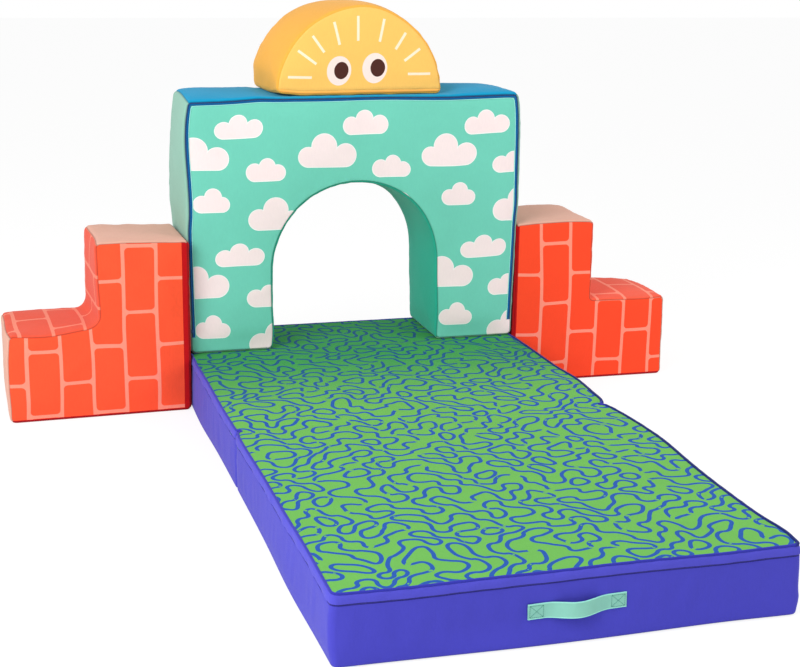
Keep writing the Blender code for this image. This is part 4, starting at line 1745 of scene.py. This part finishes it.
def mat_top(panels: Sequence[MatPanel]) -> bpy.types.Object:
    """The printed sheet, which runs over both panels and bends at the fold.

    Args:
        panels: The rear panel and the front one.

    Returns:
        The sheet.
    """
    rear, front = panels
    bends = [*front.outline.bends, *rear.outline.bends]
    outline = Outline(tuple(bends[i] for i in (0, 1, 2, 5, 6, 7, 4, 3)), SEAM)
    mesh = bmesh.new()
    mesh.faces.new([mesh.verts.new((x, y, 0)) for x, y in outline.points])
    ends = outline.ends
    cuts = [(i, at) for i, (low, high) in enumerate(ends) for at in spread(low, high, 0.008)]
    beside = (0.0012, 0.0024, 0.0038, 0.0055, 0.008)
    cuts += [(1, y) for y in (*(-y for y in beside[::-1]), 0.0, *beside)]
    sides = [(axis, end, reach) for axis, reach in enumerate((PANEL / 2, PANEL)) for end in (-1, 1)]
    cuts += [(axis, end * (reach - at)) for axis, end, reach in sides for at in (0.010, 0.012)]
    for axis, at in cuts:
        slice_at(mesh, axis, at)
    flat = np.array([v.co for v in mesh.verts])
    _, inset = outline.locate(flat[:, :2])
    place = flat + np.array([0.0, FOLD_Y, MAT_TOP])
    share = ease(flat[:, 1], -0.03, 0.03)[:, None]
    moved = rear.softened(place) * share + front.softened(place) * (1 - share)
    moved[:, 2] += sheet_relief(flat, inset, rear.softness.freedom(place))
    uv = mesh.loops.layers.uv.new("cloth")
    near = mesh.verts.layers.float.new("seam")
    for vert, off in zip(mesh.verts, inset):
        vert[near] = off
    for face in mesh.faces:
        for loop in face.loops:
            loop[uv].uv = flat[loop.vert.index][:2]
    area = sum(f.calc_area() for f in mesh.faces)
    inward = mesh.verts.layers.float_vector.new("inward")
    for vert, spot in zip(mesh.verts, moved):
        vert.co = spot
        vert[inward] = (0, 0, -1)
    mesh.normal_update()
    thicken(mesh)
    piece = add_piece("mat_top_cloth", mesh, SQUIGGLES, 60.0)
    stretched([high - low for low, high in ends], area)
    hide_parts("mat_rear_top", "mat_front_top")
    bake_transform(piece)
    LOG.info("%s over both panels, %d faces", piece.name, len(piece.data.polygons))
    return piece


@dataclass
class Arch(Block):
    """The arch, whose zip runs up, over and down its front."""

    ZIP_LINE = 0.0063
    ZIP_CORNER = 0.005
    WELT_INSIDE = 0.0062
    WELT_RADIUS = 0.0008
    SLIDER_AT = (0.051, 0.053)

    @functools.cached_property
    def zip(self) -> Panel:
        """The zip's tape."""
        return Panel("arch_zip", NAVY_TAPE, "arch_zip_tape")

    def zipped(self, flat: np.ndarray, widths: np.ndarray) -> tuple[np.ndarray, np.ndarray]:
        """Which places lie beside the zip's stretch of the front edge, and how far in."""
        along, inset = self.outline.locate(flat[:, :2])
        start, run = self.stretch(5, 8)
        beside = ((along - start) % self.outline.lengths[-1] < run) & (widths > 0)
        return beside & (flat[:, 1] > ARCH_ZIP_START), inset

    def inserts(self, middles: np.ndarray, widths: np.ndarray) -> dict[Panel, np.ndarray]:
        """The zip, let in along the front edge, and the sides' lip outside it."""
        beside, inset = self.zipped(middles, widths)
        along, _ = self.outline.locate(middles[:, :2])
        lip = beside & (inset < ARCH_ZIP[0]) & (widths > self.seam_width)
        found = {self.zip: beside & (inset > ARCH_ZIP[0]) & (inset < ARCH_ZIP[1])}
        for first, last in ((5, 6), (6, 7), (7, 8)):
            found[self.bands[first, last]] = lip & self.in_band(along, widths * 0, first, last)
        return found

    def span(self, panel: Panel) -> tuple[int, int]:
        """The bends between which a band's panel lies."""
        return (5, 8) if panel is self.zip else super().span(panel)

    def ring_distance(self, surface: Surface) -> np.ndarray:
        """The seams beside the zip are its own two edges."""
        plain = super().ring_distance(surface)
        beside, inset = self.zipped(surface.flat, surface.width)
        zipped = np.minimum(np.abs(inset - ARCH_ZIP[0]), np.abs(inset - ARCH_ZIP[1]))
        return np.where(beside & (surface.width > self.depth / 2 - EDGE), zipped, plain)

    def relief(self, surface: Surface) -> np.ndarray:
        """The zip lies a little deeper than the cloth beside it."""
        beside, inset = self.zipped(surface.flat, surface.width)
        low, high = ARCH_ZIP
        slot = ease(inset, low, low + 0.0005) * ease(-inset, -high, -high + 0.0005)
        return super().relief(surface) - np.where(beside, 0.0009 * slot, 0.0)

    def trim(self, skin: Skin) -> None:
        """The zip's teeth and slider, and inside it a thin welt, pale as a painted highlight."""
        front = self.depth / 2
        side, top = PANEL / 2 - self.ZIP_LINE, ARCH_HEIGHT - self.ZIP_LINE
        foot = ARCH_ZIP_START + 0.002
        turn, inner = self.ZIP_CORNER, self.WELT_INSIDE
        corner = [(math.cos(a) * turn, math.sin(a) * turn) for a in np.linspace(0, math.pi / 2, 7)]
        half = [(side - turn + x, top - turn + y) for x, y in corner]
        line = [(side, foot), *half, *[(-x, y) for x, y in half[::-1]], (-side, foot)]
        local = np.column_stack([line, np.full(len(line), front)])
        teeth = skin.teeth("arch_zip_teeth", local, BLUE_TEETH)
        settle(teeth, "arch")
        line = [(x - math.copysign(inner, x), y - inner if y > foot + 0.001 else y) for x, y in line]
        welt = np.column_stack([line, np.full(len(line), front)])
        piece = skin.cord("arch_front_welt", welt, self.WELT_RADIUS, WELT_PAINTED_HIGHLIGHT)
        settle(piece, "arch")
        ends = np.array([(-side, up, front) for up in self.SLIDER_AT])
        slider = skin.slider("arch_zip_slider_cast", ends, BLUE_METAL)
        settle(slider, "arch_slider", ["arch_zip_slider"])


@dataclass
class BackZipped(Block):
    """A block with its zip along the foot of its back."""

    zip_inset: float = 0.010
    zip_ends: tuple[float, float] = (-0.1, 0.1)
    tape: Finish = field(default_factory=lambda: RED_TAPE)
    teeth_finish: Finish = field(default_factory=lambda: RED_TEETH)
    metal: Finish = field(default_factory=lambda: RED_METAL)
    kind: str = "wall"

    TEETH_END = 0.003
    SLIDER_AT = 0.014

    @functools.cached_property
    def zip(self) -> Panel:
        """The zip's tape."""
        return Panel(f"{self.name}_zip", self.tape, f"{self.kind}_zip_tape")

    def inserts(self, middles: np.ndarray, widths: np.ndarray) -> dict[Panel, np.ndarray]:
        """The zip, let in above the foot of the back."""
        across, up = middles[:, 0], middles[:, 1]
        low, high = sorted(self.zip_ends)
        beside = (across > low) & (across < high) & (widths < -self.seam_width)
        return {self.zip: beside & (np.abs(up - self.zip_inset) < ZIP_EDGE)}

    def cut_map(self, panel: Panel) -> Callable[[Surface, int], tuple[float, float]]:
        """Gives the flat coordinates of a panel's points, in metres."""
        return super().cut_map(self.back if panel is self.zip else panel)

    def trim(self, skin: Skin) -> None:
        """The zip's teeth and slider."""
        back = -self.depth / 2
        start, stop = self.zip_ends
        inward = math.copysign(1.0, stop - start)
        short, half = inward * self.TEETH_END, inward * SLIDER_HALF
        line = [(x, self.zip_inset, back) for x in (start + short, stop - short)]
        teeth = skin.teeth(f"{self.name}_zip_teeth", np.array(line), self.teeth_finish)
        settle(teeth, self.name)
        at = start + inward * self.SLIDER_AT
        ends = np.array([(x, self.zip_inset, back) for x in (at - half, at + half)])
        slider = skin.slider(f"{self.name}_zip_slider_cast", ends, self.metal)
        slot = "yellow_slider" if self.kind == "sun" else "red_slider"
        settle(slider, f"{self.name}_slider", [f"{self.name}_zip_slider"])


def sewn_box(end: float, inward: int) -> Iterator[tuple[Point, Point]]:
    """The stitches of the box and cross that hold one end of the strap.

    Args:
        end: Where the strap's end is.
        inward: 1 or -1, the way from there to the strap's middle.

    Yields:
        The place and the direction of each stitch.
    """
    a, b = end + inward * STITCH_MARGIN, end + inward * (STRAP_SEWN - STITCH_MARGIN)
    level = float(np.interp((a + b) / 2, STRAP_ENDS, STRAP_LEVELS))
    low, high = level - STITCH_BOX, level + STITCH_BOX
    box = [(a, low), (b, low), (b, high), (a, high)]
    plane = STRAP_PLANE - STRAP_THICKNESS - STITCH_GAP
    for (x0, z0), (x1, z1) in [*zip(box, box[1:] + box[:1]), (box[0], box[2]), (box[1], box[3])]:
        long = math.hypot(x1 - x0, z1 - z0)
        count = round(long / STITCH)
        for i in range(count):
            share = (i + 0.5) / count
            spot = (x0 + (x1 - x0) * share, plane, z0 + (z1 - z0) * share)
            yield spot, ((x1 - x0) / long, 0.0, (z1 - z0) / long)


def handle() -> None:
    """The carry handle: a strap of webbing, sewn down at both ends with a box and a cross."""
    low, high = STRAP_ENDS
    x = low + (high - low) * np.linspace(0, 1, 97)
    free = np.clip((x - low - STRAP_SEWN) / (high - low - 2 * STRAP_SEWN), 0, 1)
    out = STRAP_BOW * np.sin(math.pi * ease(free, 0, 1)) ** 0.85
    z = np.interp(x, STRAP_ENDS, STRAP_LEVELS) - STRAP_SAG * np.sin(math.pi * free) ** 2
    centres = np.stack([x, STRAP_PLANE - STRAP_THICKNESS / 2 - STRAP_GAP - out, z], axis=1)
    ups = np.tile([0.0, -1.0, 0.0], (len(x), 1))
    ups[:, 2] = 0.16 * np.sin(math.pi * free) + 0.05 * np.sin(math.tau * free)
    half, rim = STRAP_WIDTH / 2, STRAP_THICKNESS / 2
    across = [-half, -half + 0.0004, -half + 0.0018, -half * 0.4, half * 0.4, half - 0.0018, half - 0.0004]
    upper = np.column_stack([across, [0, rim * 1.1, rim * 0.92, rim, rim, rim * 0.92, rim * 1.1]])
    solid = sweep(centres, ups, np.vstack([upper, -upper])[::-1])
    strap = add_piece("carry_handle_webbing", solid, HANDLE, 45.0)
    settle(strap, "mat_front", ["carry_handle"])
    sewn = [*sewn_box(low, 1), *sewn_box(high, -1)]
    outward = np.array([0.0, -1.0, 0.0])
    frames = np.array([[run, np.cross(outward, run), outward] for _, run in sewn])
    stitch = bead((0.0024, 0.0006, 0.0006), 0.00022)
    sewing = repeated(stitch, np.array([spot for spot, _ in sewn]), frames)
    thread = add_piece("carry_handle_stitches", sewing, THREAD)
    settle(thread, "mat_front")


def upright(x: float, y: float, z: float, turn: float = 0.0) -> Matrix:
    """The place of a block that stands on its outline's foot, turned about the upright."""
    return Matrix.Translation((x, y, z)) @ Euler((math.pi / 2, 0, turn)).to_matrix().to_4x4()


def arch() -> Arch:
    """The arch, with its clouds."""
    half, inner = PANEL / 2, OPENING_WIDTH / 2
    bends = square_bends(
        [
            (-half, 0, CORNER),
            (-inner, 0, CORNER),
            (-inner, OPENING_HEIGHT, inner),
            (inner, OPENING_HEIGHT, inner),
            (inner, 0, CORNER),
            (half, 0, CORNER),
            (half, ARCH_HEIGHT, CORNER),
            (-half, ARCH_HEIGHT, CORNER),
        ]
    )
    back = PANEL / 2
    rests = (
        Rest((-half, ARCH_FRONT - 0.01, 0.0), (half, back, MAT_TOP + 0.001)),
        Rest((-half - 0.05, ARCH_FRONT - 0.05, 0.0), (-half, back - 0.045, WALL_HEIGHT)),
        Rest((half, ARCH_FRONT, 0.0), (half + 0.05, back, WALL_HEIGHT)),
        Rest((-0.18, ARCH_FRONT + 0.02, MAT_TOP + ARCH_HEIGHT), (0.206, back + 0.02, 0.7)),
    )
    return Arch(
        name="arch",
        outline=Outline(tuple(bends)),
        depth=DEPTH,
        place=upright(0, ARCH_FRONT + DEPTH / 2, MAT_TOP + CLEARANCE),
        rings=(0.0006, 0.0018, 0.0032, 0.0044, 0.0049, 0.0060, 0.0080, 0.0100, 0.0113, 0.0118),
        extra_cuts=(("y", ARCH_ZIP_START),),
        softness=Softness(
            seed=3,
            rests=rests,
            crown=0.0045,
            wander=0.0018,
            pull=0.0035,
            bow=0.0105,
            pushes=(
                Push((OPENING_WIDTH / 2, back, 0.34), (-0.007, 0.0, 0.0), 0.14),
                Push((-half, back, 0.44), (-0.004, 0.0, 0.0), 0.07),
                Push((half, ARCH_FRONT, MAT_TOP + ARCH_HEIGHT), (0.004, 0.0, 0.003), 0.05),
                Push((0.30, back, MAT_TOP + ARCH_HEIGHT), (0.0, 0.0, 0.004), 0.12),
            ),
        ),
        front=Panel("arch_front", TEAL_CLOUDS, "cloud_print_cloth"),
        back=Panel("arch_back", TEAL_CLOUDS_BACK, "cloud_print_cloth"),
        bands={
            (0, 1): Panel("arch_left_foot", MINT, "arch_side_cloth", 0.0),
            (1, 4): Panel("arch_tunnel_lining", TEAL, "tunnel_cloth", 1.8),
            (4, 5): Panel("arch_right_foot", MINT, "arch_side_cloth", 0.0),
            (5, 6): Panel("arch_right_side", MINT, "arch_side_cloth", 1.4),
            (6, 7): Panel("arch_top", SKY, "arch_top_cloth", 1.5),
            (7, 8): Panel("arch_left_side", MINT, "arch_side_cloth", 1.2),
        },
    )


def sun() -> BackZipped:
    """The half-round block, with its rays and eyes."""
    foot = MAT_TOP + 2 * CLEARANCE + ARCH_HEIGHT
    turn = math.radians(2.4)
    under = Rest((-0.3, 0.1, foot - 0.05), (0.3, 0.5, foot))
    return BackZipped(
        name="sun",
        kind="sun",
        zip_ends=(-0.1625, 0.1625),
        tape=AMBER_TAPE,
        teeth_finish=AMBER_TEETH,
        metal=AMBER_METAL,
        extra_cuts=(
            *(("y", at) for at in (0.0070, 0.0085, 0.0100, 0.0115, 0.0130)),
            ("x", -0.1625),
            ("x", 0.1625),
        ),
        crease=0.010,
        outline=Outline(tuple(half_disc_bends(SUN_RADIUS, CORNER))),
        depth=DEPTH,
        place=upright(0.006, ARCH_FRONT + 0.020 + DEPTH / 2, foot, turn),
        softness=Softness(
            seed=5,
            rests=(under,),
            crown=0.006,
            pushes=(
                Push((-0.19, ARCH_FRONT + DEPTH, 0.75), (-0.005, 0.0, 0.0), 0.09),
                Push((-0.10, ARCH_FRONT + DEPTH, 0.86), (-0.004, 0.0, 0.004), 0.09),
                Push((-0.183, ARCH_FRONT + 0.02, foot), (0.002, 0.0, 0.006), (0.04, 0.05, 0.03), False),
            ),
        ),
        front=Panel("sun_front", SUNNY, "sun_print_cloth"),
        back=Panel("sun_back", SUNNY_BACK, "sun_print_cloth"),
        bands={
            (0, 3): Panel("sun_rim", AMBER, "sun_rim_cloth", 1.6),
            (3, 4): Panel("sun_base", AMBER, "sun_rim_cloth", 0.0),
        },
        spacing=0.009,
    )


@dataclass(frozen=True)
class WallLook:
    """What sets one stepped block apart from the other."""

    name: str
    front: float
    gap: float
    turn: float
    hollow: float
    # The front's bricks; on the right wall darkened as painted shade.
    shade: Colour
    mottle: float
    pitch: float
    start: tuple[float, float]
    wrap: float
    # The step's bricks and mortar: painted shade on the left wall; on the right wall the bricks are
    # painted with sheen.
    step_shade: Colour
    step_mortar: Colour
    step_start: tuple[float, float]
    pushes: tuple[Push, ...]


LEFT_FRONT = ARCH_FRONT - LEFT_WALL_FORWARD
LEFT_BACK = LEFT_FRONT + WALL_DEPTH
RIGHT_BACK = ARCH_FRONT + WALL_DEPTH
WALL_LOOKS = {
    -1: WallLook(
        name="left_wall",
        front=LEFT_FRONT,
        gap=0.003,
        turn=1.6,
        hollow=0.030,
        shade=BRICK_RED,
        mottle=0.20,
        pitch=0.0708,
        start=(-0.0728, 0.0115),
        wrap=0.0165,
        step_shade=BRICK_STEP_PAINTED_SHADE,
        step_mortar=(240, 136, 112),
        step_start=(-0.0016, -0.006),
        pushes=(
            Push((-0.577, LEFT_BACK, 0.32), (-0.005, 0.0, 0.0), 0.12),
            Push((-0.577, LEFT_BACK, 0.215), (-0.006, 0.0, 0.006), 0.07),
            Push((-0.66, LEFT_BACK, STEP_HEIGHT), (0.0, 0.0, 0.004), 0.10),
            Push((-0.771, LEFT_BACK, STEP_HEIGHT), (-0.006, 0.0, 0.004), 0.05),
            Push((-0.577, LEFT_BACK, WALL_HEIGHT), (-0.003, 0.0, 0.003), 0.04),
            Push((-0.775, LEFT_FRONT, 0.10), (-0.008, 0.0, 0.0), (0.025, 0.12, 0.16), False),
            Push((-0.580, LEFT_FRONT, 0.32), (-0.008, 0.0, 0.0), (0.030, 0.12, 0.12)),
            Push((-0.580, LEFT_FRONT, WALL_HEIGHT), (0.0, 0.0, 0.006), (0.12, 0.12, 0.04)),
            Push((-0.600, LEFT_FRONT, STEP_HEIGHT), (-0.003, 0.0, 0.012), (0.07, 0.10, 0.04)),
        ),
    ),
    1: WallLook(
        name="right_wall",
        front=ARCH_FRONT,
        gap=0.004,
        turn=-0.8,
        hollow=0.008,
        shade=BRICK_RIGHT_PAINTED_SHADE,
        mottle=0.10,
        pitch=0.0717,
        start=(-0.0065, 0.119),
        wrap=-0.008,
        step_shade=BRICK_STEP_PAINTED_SHEEN,
        step_mortar=(255, 146, 122),
        step_start=(-0.040, 0.0709),
        pushes=(
            Push((0.655, RIGHT_BACK, STEP_HEIGHT), (0.0, 0.0, 0.007), 0.10),
            Push((0.56, RIGHT_BACK, WALL_HEIGHT), (0.0, 0.0, 0.003), 0.10),
            Push((0.655, ARCH_FRONT, STEP_HEIGHT), (0.0, 0.0, 0.005), (0.10, 0.09, 0.03)),
            Push((0.50, ARCH_FRONT, WALL_HEIGHT), (0.0, 0.0, 0.004), (0.15, 0.09, 0.03)),
        ),
    ),
}


def wall(side: int) -> BackZipped:
    """The left stepped block at side -1 or the right one at 1, which steps down to that side."""
    look = WALL_LOOKS[side]
    name = look.name
    tall, wide = side * WALL_TALL, side * WALL_WIDTH
    corners = [
        (0.0, 0.0, CORNER),
        (wide, 0.0, CORNER),
        (wide, STEP_HEIGHT, CORNER),
        (tall, STEP_HEIGHT, look.hollow),
        (tall, WALL_HEIGHT, CORNER),
        (0.0, WALL_HEIGHT, CORNER),
    ]
    bands = {
        (0, 1): ("base", DEEP_RED, "wall_plain_cloth", 0.0),
        (1, 2): ("end_cap", CAP, "wall_cap_cloth", 0.4),
        (2, 4): ("step", None, "brick_print_cloth", 1.5),
        (4, 5): ("top_cap", CAP, "wall_cap_cloth", 1.0),
        (5, 6): ("inner_side", DEEP_RED, "wall_plain_cloth", 0.0),
    }
    ends = (side * WALL_ZIP_END, side * (WALL_WIDTH - WALL_ZIP_END))
    if side < 0:
        corners.reverse()
        bands = {(5 - b, 5 - a): row for (a, b), row in bands.items()}
        ends = ends[::-1]
    print_front = BrickPrint(
        f"velour_bricks_{name}",
        look.shade,
        mottle=look.mottle,
        column=look.pitch,
        start=look.start,
        wrap=look.wrap,
    )
    print_back = BrickPrint(f"velour_bricks_{name}_back", BRICK_RED, start=(0.01, 0.02))
    print_step = BrickPrint(
        f"velour_bricks_{name}_step",
        look.step_shade,
        mortar=look.step_mortar,
        column=look.pitch,
        brick=0.15,
        start=look.step_start,
    )
    rests = (
        Rest((-1.0, -1.0, -0.05), (1.0, 1.0, 0.002)),
        Rest((-PANEL / 2, -1.0, 0.0), (PANEL / 2, PANEL / 2, 0.7)),
    )
    inner = side * (PANEL / 2 + CLEARANCE + look.gap)
    stand = Matrix.Translation((inner, look.front, 0.0)) @ upright(0.0, 0.0, 0.0, math.radians(look.turn))
    return BackZipped(
        name=name,
        zip_ends=ends,
        extra_cuts=(("y", 0.0070), ("y", 0.0130), ("x", ends[0]), ("x", ends[1])),
        outline=Outline(tuple(square_bends(corners))),
        depth=WALL_DEPTH,
        place=stand @ Matrix.Translation((0, 0, -WALL_DEPTH / 2)),
        softness=Softness(seed=11 + side, rests=rests, crown=0.004, pushes=look.pushes),
        front=Panel(f"{name}_front", print_front, "brick_print_cloth"),
        back=Panel(f"{name}_back", print_back, "brick_print_cloth"),
        bands={
            span: Panel(f"{name}_{part}", finish or print_step, slot, crown)
            for span, (part, finish, slot, crown) in bands.items()
        },
        spacing=0.009,
    )


def studio() -> None:
    """The camera, the lamps, the world and the floor."""
    scene = bpy.context.scene
    scene.view_settings.view_transform = "Standard"
    camera = add_object("camera", bpy.data.cameras.new("camera"))
    camera.location = (-0.8828532, -3.1435548, 1.063989)
    camera.rotation_euler = (1.3095, -0.017, -0.2856)
    camera.data.lens, camera.data.sensor_width = 69.45, 36
    scene.camera = camera
    for name, place, aim, size, power in (
        ("key", (-2.2, -1.7, 1.9), (0.0, -0.1, 0.3), 1.8, 62),
        ("fill", (1.7, -0.98, 1.5), (0.3, 0.2, 0.3), 1.1, 12),
    ):
        lamp = bpy.data.lights.new(name, "AREA")
        lamp.size, lamp.energy = size, power
        holder = add_object(name, lamp)
        holder.location = place
        holder.rotation_euler = (Vector(aim) - Vector(place)).to_track_quat("-Z", "Y").to_euler()
    world = bpy.data.worlds.new("studio")
    scene.world = world
    nodes = Nodes(world)
    strength = 0.68 + 0.32 * nodes.seen()
    light = nodes.node("ShaderNodeBackground", {"Color": (1, 1, 1, 1), "Strength": strength})
    nodes.finish(light, "ShaderNodeOutputWorld")
    mesh = bmesh.new()
    bmesh.ops.create_grid(mesh, x_segments=1, y_segments=1, size=14)
    floor = add_object("floor", finished("floor", mesh))
    nodes = Nodes("floor_pale")
    share = nodes.seen() * 0.72
    pale = nodes.node("ShaderNodeBsdfDiffuse", {"Color": (0.86, 0.86, 0.86, 1)})
    white = nodes.node("ShaderNodeEmission", {"Strength": 1.12})
    mixed = nodes.node("ShaderNodeMixShader", {0: share, 1: pale, 2: white})
    nodes.finish(mixed, "ShaderNodeOutputMaterial")
    floor.data.materials.append(nodes.owner)


def main() -> None:
    """Builds the whole set."""
    logging.basicConfig(level=logging.INFO, format="%(name)s: %(message)s")
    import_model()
    studio()
    panels = (mat_panel(1), mat_panel(-1))
    for block in (*panels, arch(), sun(), wall(-1), wall(1)):
        block.build()
    mat_top(panels)
    handle()


if __name__ == "__main__":
    main()
